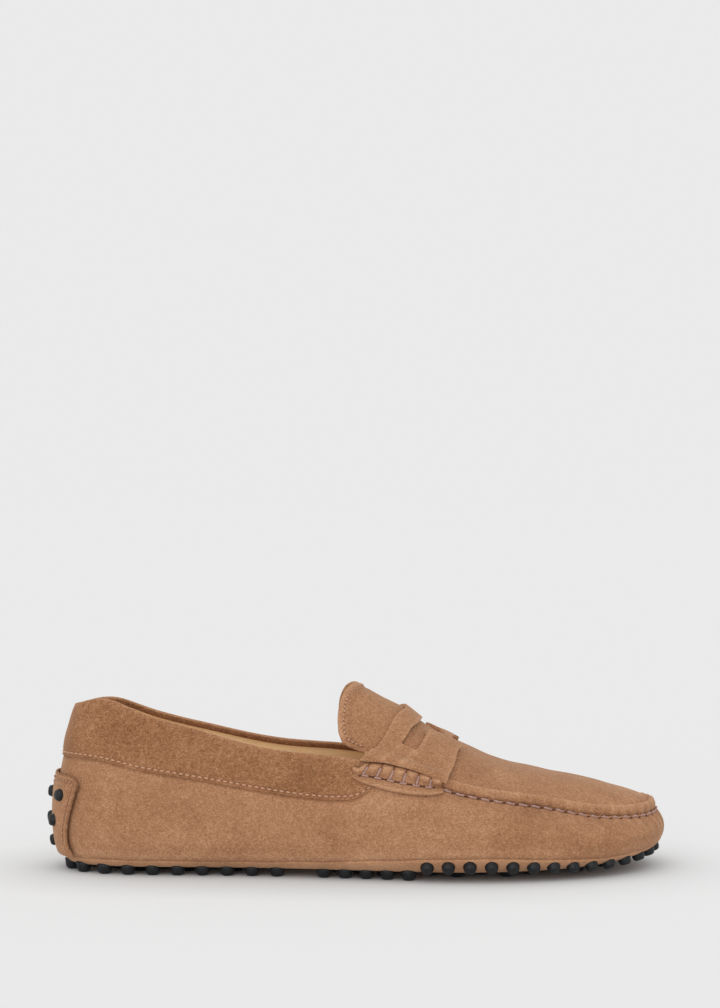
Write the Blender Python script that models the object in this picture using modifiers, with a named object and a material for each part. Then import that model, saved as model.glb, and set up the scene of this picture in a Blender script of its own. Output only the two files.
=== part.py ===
"""Driving moccasin, right shoe: a soft suede slip-on that stands on rubber pebbles.

The heel points to -X, the toe to +X, the outer side of the foot to -Y and +Z is up. All sizes are in
metres. The origin is on the floor under the middle of the shoe.
"""

import math

import bmesh
import bpy
import numpy as np

# Driving sizes of the last and of the leather drawn over it
UPPER_LENGTH = 0.2821
BALL_WIDTH = 0.1015
BACK_HEIGHT = 0.0756
TONGUE_HEIGHT = 0.0853
TOE_SPRING = 0.0055
MARGIN_HEIGHT = 0.0070

# Sheet thicknesses and the clearance between pieces that meet
WALL = 0.0020
BAND_STEP = 0.0007
APRON_SHEET = 0.0020
STRAP_SHEET = 0.0016
ROLL_SHEET = 0.0017
SOLE_SHEET = 0.0030
INSOLE_SHEET = 0.0022
TAB_SHEET = 0.0011
PLATE_SHEET = 0.0007
GAP = 0.0003

# Rubber pebbles under the sole, and the smaller ones on the heel
PEBBLE_HEIGHT = 0.0036
PEBBLE_RADIUS = 0.0034
PEBBLE_TIP_RADIUS = 0.0026
PEBBLE_PITCH = 0.0118
PEBBLE_ROOT = 0.0012
MARGIN_PEBBLE_HEIGHT = 0.0029
HEEL_PEBBLE_HEIGHT = 0.0026
HEEL_PEBBLE_RADIUS = 0.0028
HEEL_PEBBLE_TIP_RADIUS = 0.0021
PEBBLE_SIDES = 6

# Raised roll along the apron's seam, how far across it its top lies, and how far it overhangs the wall
BEAD_WIDTH = 0.0037
BEAD_HEIGHT = 0.0047
BEAD_TOP = BEAD_WIDTH * 0.6
BEAD_OVERHANG = WALL * 0.1
CREASE_HEIGHT = 0.0040

# Gathered puffs on the rolls that hold the strap's ends
PUFFS = 6
PUFF_DEPTH = 0.0016
PUFF_START = 0.10

# Powers that set how square the lower corner, how straight the side and how flat the apron is
CORNER_POWER = 2.3
SIDE_POWER = 1.75
ARCH_POWER = 2.3

# Stations run round the shoe: heel back, outer side, toe tip, inner side. Station 22 - n stands
# opposite station n. Columns: along as a share of UPPER_LENGTH, across as a share of half BALL_WIDTH,
# turn and lean (how far the sole's edge and the top edge lie inside the widest line) as shares of
# BALL_WIDTH, lift as a share of TOE_SPRING, margin as a share of MARGIN_HEIGHT, and bulge (the height
# of the widest line) and top (the top edge's height) as shares of BACK_HEIGHT.
COLUMNS = ("along", "across", "turn", "lean", "lift", "margin", "bulge", "top")
SECTIONS = (
    (0.000, 0.00, 0.070, 0.089, 0.00, 0.50, 0.357, 1.000),
    (0.021, -0.36, 0.078, 0.103, 0.00, 0.43, 0.344, 1.026),
    (0.080, -0.57, 0.088, 0.108, 0.00, 0.43, 0.304, 1.040),
    (0.150, -0.65, 0.095, 0.094, 0.00, 0.43, 0.285, 0.955),
    (0.245, -0.68, 0.099, 0.079, 0.00, 0.43, 0.278, 0.860),
    (0.365, -0.75, 0.108, 0.079, 0.00, 0.50, 0.278, 0.752),
    (0.500, -0.89, 0.118, 0.108, 0.00, 0.71, 0.278, 0.690),
    (0.645, -1.00, 0.123, 0.128, 0.00, 1.00, 0.265, 0.520),
    (0.776, -0.94, 0.123, 0.123, 0.05, 0.86, 0.251, 0.440),
    (0.890, -0.72, 0.108, 0.103, 0.30, 0.50, 0.231, 0.365),
    (0.970, -0.36, 0.099, 0.064, 0.80, 0.36, 0.231, 0.344),
    (1.000, 0.10, 0.108, 0.044, 1.00, 0.43, 0.245, 0.350),
    (0.982, 0.50, 0.099, 0.064, 0.90, 0.36, 0.245, 0.357),
    (0.911, 0.80, 0.108, 0.094, 0.45, 0.50, 0.238, 0.377),
    (0.801, 0.97, 0.123, 0.118, 0.08, 0.86, 0.251, 0.440),
    (0.670, 1.00, 0.123, 0.123, 0.00, 1.00, 0.265, 0.520),
    (0.500, 0.79, 0.138, 0.079, 0.20, 0.71, 0.278, 0.685),
    (0.370, 0.66, 0.128, 0.050, 0.45, 0.57, 0.291, 0.742),
    (0.245, 0.64, 0.105, 0.060, 0.25, 0.43, 0.291, 0.838),
    (0.150, 0.62, 0.099, 0.084, 0.05, 0.43, 0.295, 0.930),
    (0.080, 0.56, 0.090, 0.103, 0.00, 0.43, 0.304, 1.012),
    (0.021, 0.36, 0.078, 0.108, 0.00, 0.43, 0.344, 1.008),
)
STATIONS = len(SECTIONS)
TOE = STATIONS / 2
THROAT = 6

# Crown of the apron: along as a share of UPPER_LENGTH, height as a share of TONGUE_HEIGHT
CROWN = (
    (0.455, 1.060),
    (0.498, 0.989),
    (0.531, 0.924),
    (0.568, 0.858),
    (0.605, 0.768),
    (0.663, 0.668),
    (0.728, 0.576),
    (0.794, 0.526),
    (0.860, 0.489),
    (0.915, 0.444),
    (0.964, 0.380),
)

# Free edge of the tongue: share of the half width from its middle, along as a share of UPPER_LENGTH
TONGUE_EDGE = (
    (0.00, 0.477),
    (0.30, 0.466),
    (0.50, 0.455),
    (0.70, 0.447),
    (0.85, 0.451),
    (0.95, 0.470),
    (1.00, 0.500),
)

# Seam of the quarter band: along as a share of UPPER_LENGTH, share of the wall's height
BAND_SEAM = (
    (0.00, 0.655),
    (0.08, 0.622),
    (0.20, 0.626),
    (0.35, 0.622),
    (0.42, 0.602),
    (0.46, 0.602),
    (0.49, 0.640),
    (0.52, 0.780),
    (0.55, 0.860),
    (1.00, 0.860),
)
BAND_FADE = (0.50, 0.53)

# Strap: share of the apron's half width, then the places, as shares of UPPER_LENGTH, of its back
# edge, the slot's back edge, the slot's front edge and its front edge. The last two rows are its turn
# over the bead and its end on the roll
STRAP_EDGES = (
    (0.00, 0.568, 0.594, 0.625, 0.648),
    (0.30, 0.563, 0.589, 0.623, 0.649),
    (0.35, 0.561, 0.588, 0.611, 0.656),
    (0.55, 0.550, 0.578, 0.600, 0.652),
    (0.86, 0.532, 0.559, 0.583, 0.644),
    (0.93, 0.526, 0.552, 0.576, 0.641),
    (1.00, 0.518, 0.544, 0.568, 0.637),
    (1.05, 0.511, 0.538, 0.563, 0.636),
    (1.10, 0.497, 0.530, 0.558, 0.634),
)
STRAP_SHARES = (0.95, 0.86, 0.70, 0.5, 0.35, 0.30, 0.15)
SLOT_END = 0.86
STRAP_ROOM = 2 * GAP

# Roll at a strap end: place from its back to its front, along as a share of UPPER_LENGTH, and how far
# its top stands above the seam and its lip hangs below it, as shares of BEAD_HEIGHT
ROLL_EDGES = (
    (0.00, 0.489, 0.00, 1.10),
    (0.08, 0.500, 0.12, 1.65),
    (0.30, 0.530, 0.40, 1.90),
    (0.60, 0.572, 0.68, 1.60),
    (0.92, 0.617, 0.85, 0.75),
    (1.00, 0.627, 0.85, 0.45),
)
# Section of the roll from its top to its lip: share of its height, share of PUFF_DEPTH that the puffs
# add there, share of ROLL_SHEET that its leather is thick there
ROLL_SECTION = (
    (0.00, 0.00, 0.80),
    (0.16, 0.85, 1.00),
    (0.34, 1.00, 1.00),
    (0.52, 0.25, 1.00),
    (0.66, 0.00, 1.00),
    (0.88, 0.00, 1.30),
    (1.00, 0.00, 0.70),
)

# Heel tab: share of its height, half its width in stations. It stands between two shares of the wall
TAB_EDGE = (
    (0.00, 1.24),
    (0.10, 1.14),
    (0.30, 1.13),
    (0.55, 1.24),
    (0.80, 1.36),
    (0.94, 1.40),
    (1.00, 1.28),
)
TAB_SPAN = (0.015, 0.545)
TAB_SAG = 0.03
PLATE_SHARE = 0.84

# Pebbles on the heel: share of the wall's height, places of a row in stations
HEEL_ROWS = (
    (0.405, (-0.92, 0.0, 0.92)),
    (0.235, (-0.60, 0.0, 0.60)),
    (0.078, (0.0,)),
)

# Rows of pebbles that follow the sole's edge: first and last station, how far down from the sole's rim
# they stand, as a share of PEBBLE_RADIUS, and how far apart, as a share of PEBBLE_PITCH. Station
# numbers below 0 are on the heel's inner side. No row stands beyond EDGE_END of the turned-up margin
EDGE_ROWS = (
    (-4.90, 4.95, 2.5, 0.97),
    (5.51, 6.47, 3.0, 0.86),
    (6.69, 15.31, 1.15, 0.78),
    (15.53, 16.45, 3.0, 0.86),
)
EDGE_END = 0.93
# Floor of the sole that holds staggered rows: from and to, as shares of UPPER_LENGTH, how far inside
# the floor's edge a row may begin and how far apart the rows are, as shares of PEBBLE_PITCH
FLOOR_FIELDS = ((0.060, 0.360), (0.455, 0.930))
FIELD_INSET = 0.62
ROW_PITCH = 0.94

# Height of the insole's rim, as a share of the margin's height
INSOLE_RIM = 0.55

# Finishes: colour, roughness
SUEDE = ((0.42, 0.24, 0.125), 0.95)
DARK_SUEDE = ((0.36, 0.20, 0.10), 0.95)
LINING = ((0.62, 0.42, 0.24), 0.6)
RUBBER = ((0.018, 0.019, 0.022), 0.5)

# Facets: steps between stations, and rows of the wall, the sole's corner, its floor and the apron
PER_STATION = 3
WALL_ROWS = 5
CORNER_ROWS = 4
INSOLE_ROWS = 2
FLOOR_STRIPS = 5
PUFF_STEPS = 3
TAB_STEPS = 10
APRON_SHARES = (0.95, 0.80, 0.60, 0.32)
PULLED_ROWS = 4
# Width of the apron, near the toe, under which its crown fades into the bead
CROWN_START = 0.016

OVER_HEEL = GAP + PLATE_SHEET + GAP + TAB_SHEET
HEEL_BACK = -(UPPER_LENGTH + OVER_HEEL + HEEL_PEBBLE_HEIGHT) / 2
LEATHER_BACK = HEEL_BACK + HEEL_PEBBLE_HEIGHT + OVER_HEEL

# Section of the bead, outside and inside: inward of the seam, above the seam
BEAD_OUTSIDE = (
    (0.0, GAP / 2),
    (-BEAD_OVERHANG, BEAD_HEIGHT * 0.5),
    (BEAD_WIDTH * 0.2, BEAD_HEIGHT * 0.92),
    (BEAD_TOP, BEAD_HEIGHT),
    (BEAD_WIDTH, CREASE_HEIGHT),
)
BEAD_INSIDE = (
    (WALL, GAP / 2),
    (WALL, CREASE_HEIGHT * 0.25),
    (WALL * 1.1, CREASE_HEIGHT * 0.4),
    (WALL * 1.3, CREASE_HEIGHT * 0.48),
    (BEAD_WIDTH + WALL * 0.2, CREASE_HEIGHT - APRON_SHEET * 0.8),
)


def along(share):
    """Place on X of a share of the upper's length."""
    return LEATHER_BACK + np.asarray(share) * UPPER_LENGTH


def share_along(x):
    return (x - LEATHER_BACK) / UPPER_LENGTH


def closed_spline(values, at):
    """Cubic spline with even knots through a closed row of values, read at station numbers."""
    values = np.asarray(values, float)
    count = len(values)
    around = np.arange(count)
    bends = np.zeros((count, count))
    bends[around, around] = 4
    bends[around, (around + 1) % count] = 1
    bends[around, (around - 1) % count] = 1
    turns = np.roll(values, -1, 0) - 2 * values + np.roll(values, 1, 0)
    second = np.linalg.solve(bends, 6 * turns)
    at = np.asarray(at, float) % count
    low = np.floor(at).astype(int) % count
    high = (low + 1) % count
    part = (at - np.floor(at))[..., None]
    rest = 1 - part
    straight = rest * values[low] + part * values[high]
    curved = (rest**3 - rest) * second[low] + (part**3 - part) * second[high]
    return straight + curved / 6


def open_curve(table, at):
    """Smooth curve through the rows of a table whose first column is the place: cubic pieces whose
    slope at a row is the mean of its two neighbours' slopes."""
    table = np.asarray(table, float)
    knots = table[:, 0]
    values = table[:, 1:]
    slopes = np.gradient(values, knots, axis=0)
    at = np.clip(np.asarray(at, float), knots[0], knots[-1])
    low = np.clip(np.searchsorted(knots, at, side="right") - 1, 0, len(knots) - 2)
    width = (knots[low + 1] - knots[low])[..., None]
    part = (at - knots[low])[..., None] / width
    start = (1 + 2 * part) * (1 - part) ** 2 * values[low]
    leave = part * (1 - part) ** 2 * slopes[low] * width
    end = part**2 * (3 - 2 * part) * values[low + 1]
    arrive = part**2 * (part - 1) * slopes[low + 1] * width
    return start + leave + end + arrive


def section(at):
    """The table's columns at station numbers, in metres."""
    shares = dict(zip(COLUMNS, np.moveaxis(closed_spline(SECTIONS, at), -1, 0)))
    base = PEBBLE_HEIGHT + np.maximum(shares["lift"], 0) * TOE_SPRING
    return {
        "x": along(shares["along"]),
        "y": shares["across"] * BALL_WIDTH / 2,
        "turn": shares["turn"] * BALL_WIDTH,
        "lean": shares["lean"] * BALL_WIDTH,
        "base": base,
        "feather": base + shares["margin"] * MARGIN_HEIGHT,
        "bulge": shares["bulge"] * BACK_HEIGHT,
        "top": shares["top"] * BACK_HEIGHT,
    }


def outward(at):
    """Unit normal of the widest line in plan, pointing out of the shoe."""
    step = 0.01
    ahead = section(np.asarray(at) + step)
    behind = section(np.asarray(at) - step)
    run = np.stack([ahead["x"] - behind["x"], ahead["y"] - behind["y"]], -1)
    run /= np.linalg.norm(run, axis=-1, keepdims=True)
    return np.stack([run[..., 1], -run[..., 0]], -1)


def placed(at, inset, height):
    """Points that lie inset inside the widest line, at a height."""
    here = section(at)
    normal = outward(at)
    x = here["x"] - normal[..., 0] * inset
    y = here["y"] - normal[..., 1] * inset
    return np.stack([x, y, height + 0 * x], -1)


def wall_point(at, share, depth=0.0):
    """A face of the wall, depth inside its outer face: share runs from 0 at the feather line to 1 at
    the top edge. Below the widest line it is a superellipse quarter, above it a power curve."""
    here = section(at)
    height = here["feather"] + share * (here["top"] - here["feather"])
    below = np.clip((here["bulge"] - height) / (here["bulge"] - here["base"] - depth), 0, 1)
    above = np.clip((height - here["bulge"]) / (here["top"] - here["bulge"]), 0, None)
    turned = 1 - (1 - below**CORNER_POWER) ** (1 / CORNER_POWER)
    inset = depth + (here["turn"] - depth) * turned + here["lean"] * above**SIDE_POWER
    return placed(at, inset, height)


def corner_point(at, share, depth=0.0, rim=1.0):
    """A face of the sole, depth inside its outer face: share runs from 0 at its rim to 1 where the
    floor begins, along the wall's superellipse. The rim's height is a share of the margin's."""
    here = section(at)
    down = here["bulge"] - here["base"] - depth
    start = here["bulge"] - here["base"] - rim * (here["feather"] - here["base"])
    first = np.arcsin(np.clip(start / down, 0, 1) ** (CORNER_POWER / 2))
    angle = first + share * (math.pi / 2 - first)
    height = here["bulge"] - down * np.sin(angle) ** (2 / CORNER_POWER)
    cosine = np.clip(np.cos(angle), 0, 1)
    inset = depth + (here["turn"] - depth) * (1 - cosine ** (2 / CORNER_POWER))
    return placed(at, inset, height)


def normals(surface, at, share):
    """Unit normals of a surface of two parameters, out of the shoe."""
    step = 0.01
    share = np.clip(share, 2 * step, 1 - 2 * step)
    round_it = surface(at + step, share) - surface(at - step, share)
    up = surface(at, share + step) - surface(at, share - step)
    normal = np.cross(round_it, up)
    normal /= np.linalg.norm(normal, axis=-1, keepdims=True)
    ways = outward(at)
    outer = normal[..., 0] * ways[..., 0] + normal[..., 1] * ways[..., 1]
    return normal * np.where(outer < 0, -1.0, 1.0)[..., None]


def band_step(at):
    """How far the quarter band stands out of the wall below its seam."""
    start, end = BAND_FADE
    fade = (end - share_along(section(at)["x"])) / (end - start)
    return BAND_STEP * np.clip(fade, 0, 1)


def seam_point(at, inward, rise):
    """A point near the apron's seam: inward of the wall's top edge in plan, and above it."""
    here = section(at)
    return placed(at, here["lean"] + inward, here["top"] + rise)


def station_at(x, side):
    """The station number, on one side of the shoe, where the wall's top edge is at x."""
    at = np.linspace(3.0, TOE, 400) * side
    tops = seam_point(at, 0 * at, 0 * at)
    return np.interp(x, tops[:, 0], at)


def crown_height(x):
    return open_curve(CROWN, share_along(x))[..., 0] * TONGUE_HEIGHT


def arch(start, end, shares, drop=0.0):
    """Points between two edge points, raised to the crown by a power curve."""
    shares = np.asarray(shares, float)[:, None]
    points = start * (1 - shares) / 2 + end * (1 + shares) / 2
    middle = (start + end) / 2
    width = np.linalg.norm(end - start)
    rise = (crown_height(middle[0]) - drop - middle[2]) * min(1, width / CROWN_START)
    points[:, 2] += max(rise, 0.0) * (1 - np.abs(shares[:, 0]) ** ARCH_POWER)
    return points


def apron_surface(x, share, profile=BEAD_OUTSIDE, drop=0.0):
    """A face of the apron at a place along the shoe and a share of its half width."""
    start = seam_point(station_at(x, 1), *profile[-1])
    end = seam_point(station_at(x, -1), *profile[-1])
    return arch(start, end, [share], drop)[0]


def material(name, finish):
    """A Principled finish from a colour and a roughness."""
    colour, roughness = finish
    made = bpy.data.materials.new(name)
    made.use_nodes = True
    shader = made.node_tree.nodes["Principled BSDF"]
    shader.inputs["Base Color"].default_value = (*colour, 1)
    shader.inputs["Roughness"].default_value = roughness
    made.diffuse_color = (*colour, 1)
    return made


def new_object(name, finish, collection):
    """An empty mesh object with its finish, linked to a collection."""
    mesh = bpy.data.meshes.new(name)
    obj = bpy.data.objects.new(name, mesh)
    collection.objects.link(obj)
    mesh.materials.append(finish)
    return obj


def cutter(name, finish, helpers, made):
    """A helper object that joins or cuts and isn't rendered."""
    obj = new_object(name, finish, helpers)
    finish_mesh(obj, made)
    obj.hide_render = True
    obj.display_type = "WIRE"
    return obj


def boolean(obj, name, operation, other):
    """Joins or cuts an object with a helper."""
    join = obj.modifiers.new(name, "BOOLEAN")
    join.operation = operation
    join.object = other
    join.material_mode = "TRANSFER"


def finish_mesh(obj, made):
    """Merges what meets, turns the faces outwards and shades them smooth."""
    bmesh.ops.remove_doubles(made, verts=made.verts, dist=1e-6)
    bmesh.ops.dissolve_degenerate(made, edges=made.edges, dist=1e-6)
    bmesh.ops.recalc_face_normals(made, faces=made.faces)
    made.to_mesh(obj.data)
    made.free()
    obj.data.shade_smooth()
    obj.data.set_sharp_from_angle(angle=math.radians(40))


def add_grid(made, points, around=False, holes=()):
    """Adds a grid of points, rows by columns, with its quads but for the holes. Returns its vertices."""
    rows, columns = points.shape[:2]
    verts = [[made.verts.new(points[r, c]) for c in range(columns)] for r in range(rows)]
    for r in range(rows - 1):
        for c in range(columns if around else columns - 1):
            if (r, c) not in holes:
                d = (c + 1) % columns
                made.faces.new((verts[r][c], verts[r][d], verts[r + 1][d], verts[r + 1][c]))
    return verts


def join_rows(made, first, second, around=False):
    """Quads between two rows of vertices of the same length."""
    count = len(first)
    for c in range(count if around else count - 1):
        d = (c + 1) % count
        made.faces.new((first[c], first[d], second[d], second[c]))


def sheet(name, outer, inner, finish, collection, around=False, open_end=True):
    """A solid sheet between an outer and an inner grid that have the same columns. Where the last row
    is folded together and closes the shape by itself, open_end is false."""
    made = bmesh.new()
    out = add_grid(made, outer, around)
    inn = add_grid(made, inner, around)
    join_rows(made, out[0], inn[0], around)
    if open_end:
        join_rows(made, out[-1], inn[-1], around)
    if not around:
        join_rows(made, [row[0] for row in out], [row[0] for row in inn])
        join_rows(made, [row[-1] for row in out], [row[-1] for row in inn])
    obj = new_object(name, finish, collection)
    finish_mesh(obj, made)
    return obj


def thicken(obj, made, thickness):
    """Gives an object an open surface, and a thickness on the side that its faces look to."""
    made.to_mesh(obj.data)
    made.free()
    obj.data.shade_smooth()
    solid = obj.modifiers.new("Thickness", "SOLIDIFY")
    solid.thickness = thickness
    solid.offset = 1
    solid.use_even_offset = True


def around_stations():
    """Station numbers right round the shoe."""
    return np.arange(STATIONS * PER_STATION) / PER_STATION


def upper(collection, finish):
    """Vamp and quarters: one wall round the foot, open at the collar and apron and underneath. The
    quarter band is a step in its outer face, above a seam that runs from the heel to the strap."""
    at = around_stations()
    here = section(at)
    seam = open_curve(BAND_SEAM, share_along(here["x"]))[:, 0]
    height = here["top"] - here["feather"]
    foot = GAP / height
    ledge = BAND_STEP / 2 / height
    lower = [foot + (seam - ledge - foot) * k / (WALL_ROWS - 1) for k in range(WALL_ROWS)]
    raised = [seam + ledge, (seam + 1) / 2, np.ones_like(seam)]
    outer = [wall_point(at, share) for share in lower]
    outer += [wall_point(at, share, -band_step(at)) for share in raised]
    inside = [foot + (1 - foot) * k / WALL_ROWS for k in range(WALL_ROWS + 1)]
    inner = [wall_point(at, share, WALL) for share in inside]
    return sheet("upper", np.array(outer), np.array(inner), finish, collection, around=True)


def bowl(made, depth, rim, corner_rows):
    """Adds a face of the sole to a mesh: rings from its rim down to the floor, then strips across the
    floor from side to side. Returns the rim's vertices."""
    at = around_stations()
    shares = np.arange(corner_rows + 1) / corner_rows
    rings = np.array([corner_point(at, share, depth, rim) for share in shares])
    verts = add_grid(made, rings, around=True)
    edge = verts[-1]
    half = len(at) // 2
    previous = [edge[0]] * (FLOOR_STRIPS + 1)
    for i in range(1, half + 1):
        left = edge[i]
        right = edge[-i]
        steps = [k / FLOOR_STRIPS for k in range(1, FLOOR_STRIPS)]
        row = [left] + [made.verts.new(left.co.lerp(right.co, step)) for step in steps] + [right]
        if i == half:
            row = [left] * (FLOOR_STRIPS + 1)
        for k in range(FLOOR_STRIPS):
            corners = list(dict.fromkeys((previous[k], previous[k + 1], row[k + 1], row[k])))
            if len(corners) > 2:
                made.faces.new(corners)
        previous = row
    bmesh.ops.delete(made, geom=[v for v in made.verts if not v.link_faces], context="VERTS")
    return verts[0]


def tray(name, finish, collection, depth, thickness, rim, corner_rows):
    """A cupped sheet that follows the sole: its outer face at a depth, its inner face above it."""
    made = bmesh.new()
    outer = bowl(made, depth, rim, corner_rows)
    inner = bowl(made, depth + thickness, rim, corner_rows)
    join_rows(made, outer, inner, around=True)
    obj = new_object(name, finish, collection)
    finish_mesh(obj, made)
    return obj


def pebble(made, foot, direction, root, height, radius, tip_radius, tip=None):
    """Adds one pebble: a prism with a smaller flat tip, rooted in the sheet that carries it. tip is
    the height above the floor that its whole tip is brought to."""
    direction = direction / np.linalg.norm(direction)
    first = np.cross(direction, (1.0, 0, 0) if abs(direction[0]) < 0.9 else (0, 1.0, 0))
    first /= np.linalg.norm(first)
    second = np.cross(direction, first)
    rings = []
    for reach, wide in ((-root, radius), (height, tip_radius)):
        ring = []
        for k in range(PEBBLE_SIDES):
            turn = 2 * math.pi * (k + 0.5) / PEBBLE_SIDES
            point = foot + direction * reach
            point = point + wide * (first * math.cos(turn) + second * math.sin(turn))
            if tip is not None and reach == height:
                point[2] = tip
            ring.append(made.verts.new(point))
        rings.append(ring)
    join_rows(made, rings[0], rings[1], around=True)
    made.faces.new(rings[0])
    made.faces.new(rings[-1])


def edge_share(at, distance):
    """Share of the turned-up margin that is a distance down from the sole's rim at a station."""
    shares = np.linspace(0, 1, 30)
    points = corner_point(at + 0 * shares, shares)
    run = np.concatenate([[0], np.cumsum(np.linalg.norm(np.diff(points, axis=0), axis=1))])
    return min(np.interp(distance, run, shares), EDGE_END)


def spaced(start, stop, pitch):
    """Station numbers between two stations at which points of the sole's edge stand a pitch apart."""
    fine = np.linspace(start, stop, 400)
    points = corner_point(fine, EDGE_END)
    run = np.concatenate([[0], np.cumsum(np.linalg.norm(np.diff(points, axis=0), axis=1))])
    count = max(2, round(run[-1] / pitch) + 1)
    return np.interp(np.linspace(0, run[-1], count), run, fine)


def rests(height):
    """Whether a pebble rooted at this height is long enough to reach the floor."""
    return height < PEBBLE_HEIGHT + PEBBLE_ROOT / 2


def edge_pebbles(made):
    """Pebbles along the sole's edge: those that reach the floor point down, the others stand square
    to the margin."""
    for first, last, down_from_rim, pitch in EDGE_ROWS:
        at = spaced(first, last, PEBBLE_PITCH * pitch)
        share = np.array([edge_share(t, down_from_rim * PEBBLE_RADIUS) for t in at])
        feet = corner_point(at, share)
        ways = normals(corner_point, at, share)
        for foot, way in zip(feet, ways):
            if rests(foot[2]):
                way = np.array([0.0, 0.0, -1.0])
                pebble(made, foot, way, PEBBLE_ROOT, foot[2], PEBBLE_RADIUS, PEBBLE_TIP_RADIUS, 0.0)
            else:
                height = MARGIN_PEBBLE_HEIGHT
                pebble(made, foot, way, PEBBLE_ROOT, height, PEBBLE_RADIUS, PEBBLE_TIP_RADIUS)


def floor_edge(side, x):
    """Place across and height of the floor's edge at x, on one side of the shoe."""
    at = np.linspace(0.02, TOE - 0.02, 300) * side
    points = corner_point(at, 1.0)
    return np.interp(x, points[:, 0], points[:, 1]), np.interp(x, points[:, 0], points[:, 2])


def field_pebbles(made):
    """Staggered rows of pebbles across the floor of the sole, inside its edge."""
    row_pitch = PEBBLE_PITCH * ROW_PITCH
    down = np.array([0.0, 0.0, -1.0])
    for start, stop in FLOOR_FIELDS:
        for row in range(int((stop - start) * UPPER_LENGTH / row_pitch) + 1):
            x = along(start) + row * row_pitch
            outer, outer_z = floor_edge(1, x)
            inner, inner_z = floor_edge(-1, x)
            room = (inner - outer) / 2 - FIELD_INSET * PEBBLE_PITCH
            stagger = 0.5 if row % 2 else 0.0
            most = int(room / PEBBLE_PITCH - stagger)
            places = np.arange(-most - 2 * stagger, most + 1) + stagger
            for place in places if room > 0 else ():
                y = (outer + inner) / 2 + place * PEBBLE_PITCH
                z = outer_z + (inner_z - outer_z) * (y - outer) / (inner - outer)
                tip = 0.0 if rests(z) else None
                height = z if rests(z) else PEBBLE_HEIGHT
                foot = np.array([x, y, z])
                pebble(made, foot, down, PEBBLE_ROOT, height, PEBBLE_RADIUS, PEBBLE_TIP_RADIUS, tip)


def sole(collection, helpers, leather, rubber):
    """Bottom leather with its rubber pad, as one tray, and the pebbles that come through it."""
    made = bmesh.new()
    edge_pebbles(made)
    field_pebbles(made)
    pebbles = cutter("pebbles_to_join", rubber, helpers, made)
    obj = tray("sole", leather, collection, 0.0, SOLE_SHEET, 1.0, CORNER_ROWS)
    obj.data.materials.append(rubber)
    boolean(obj, "Pebbles", "UNION", pebbles)


def apron(collection, finish):
    """Apron with its tongue: an arched sheet whose seamed edge carries a raised bead, and whose back
    end is cut to the tongue's rounded edge."""
    shares = [-s for s in APRON_SHARES] + [0.0] + list(APRON_SHARES[::-1])
    faces = []
    for profile, drop in ((BEAD_OUTSIDE, 0.0), (BEAD_INSIDE, APRON_SHEET * 1.1)):
        rows = []
        for k in range(round((TOE - THROAT) * PER_STATION) + 1):
            at = THROAT + k / PER_STATION
            outer, inner = [[seam_point(at * side, *point) for point in profile] for side in (1, -1)]
            middle = arch(outer[-1], inner[-1], shares, drop)
            if k < PULLED_ROWS:
                fade = (1 - k / PULLED_ROWS) ** 2
                middle = pulled_back(middle, shares, fade, profile, drop)
            rows.append(np.concatenate([outer, middle, inner[::-1]]))
        faces.append(np.array(rows))
    return sheet("apron", faces[0], faces[1], finish, collection, open_end=False)


def pulled_back(middle, shares, fade, profile, drop):
    """Moves the points of a row back towards the tongue's edge, along the apron's face."""
    moved = []
    for point, share in zip(middle, shares):
        edge = open_curve(TONGUE_EDGE, abs(share))[0]
        x = point[0] + (edge - TONGUE_EDGE[-1][1]) * UPPER_LENGTH * fade
        moved.append(apron_surface(x, share, profile, drop))
    return moved


def strap_places(share):
    """Places on X across the strap at a share of the apron's half width: each band's two edges and
    its middle."""
    back, slot_back, slot_front, front = along(open_curve(STRAP_EDGES, share))
    return (back, (back + slot_back) / 2, slot_back, slot_front, (slot_front + front) / 2, front)


def strap(collection, finish):
    """Strap over the apron from roll to roll, with a long slot between its back and front bands."""
    shares = [-s for s in STRAP_SHARES] + [0.0] + list(STRAP_SHARES[::-1])
    rows = []
    for share in shares:
        places = strap_places(abs(share))
        rows.append([apron_surface(x, share) + (0, 0, STRAP_ROOM) for x in places])
    over_bead, at_turn, on_roll = [strap_places(row[0]) for row in STRAP_EDGES[-3:]]
    outside = -BEAD_OVERHANG - STRAP_ROOM
    for side in (1, -1):
        bead = [seam_point(station_at(x, side), BEAD_TOP, BEAD_HEIGHT + STRAP_ROOM) for x in over_bead]
        turn = [seam_point(station_at(x, side), outside, BEAD_HEIGHT) for x in at_turn]
        stations = [station_at(x, side) for x in on_roll]
        ends = [seam_point(at, outside, roll_top(at) + STRAP_ROOM) for at in stations]
        rows = [ends, turn, bead] + rows if side == 1 else rows + [bead, turn, ends]
    made = bmesh.new()
    slot = [r for r in range(len(shares) - 1) if abs(shares[r] + shares[r + 1]) < 2 * SLOT_END]
    holes = {(r + 3, 2) for r in slot}
    add_grid(made, np.array(rows), holes=holes)
    bmesh.ops.recalc_face_normals(made, faces=made.faces)
    if sum(face.normal.z for face in made.faces) < 0:
        bmesh.ops.reverse_faces(made, faces=made.faces)
    obj = new_object("saddle_strap", finish, collection)
    thicken(obj, made, STRAP_SHEET)
    return obj


def roll_top(at):
    """Height above the seam of the roll's top at a station."""
    table = np.array(ROLL_EDGES)
    return np.interp(share_along(section(at)["x"]), table[:, 1], table[:, 2]) * BEAD_HEIGHT


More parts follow.
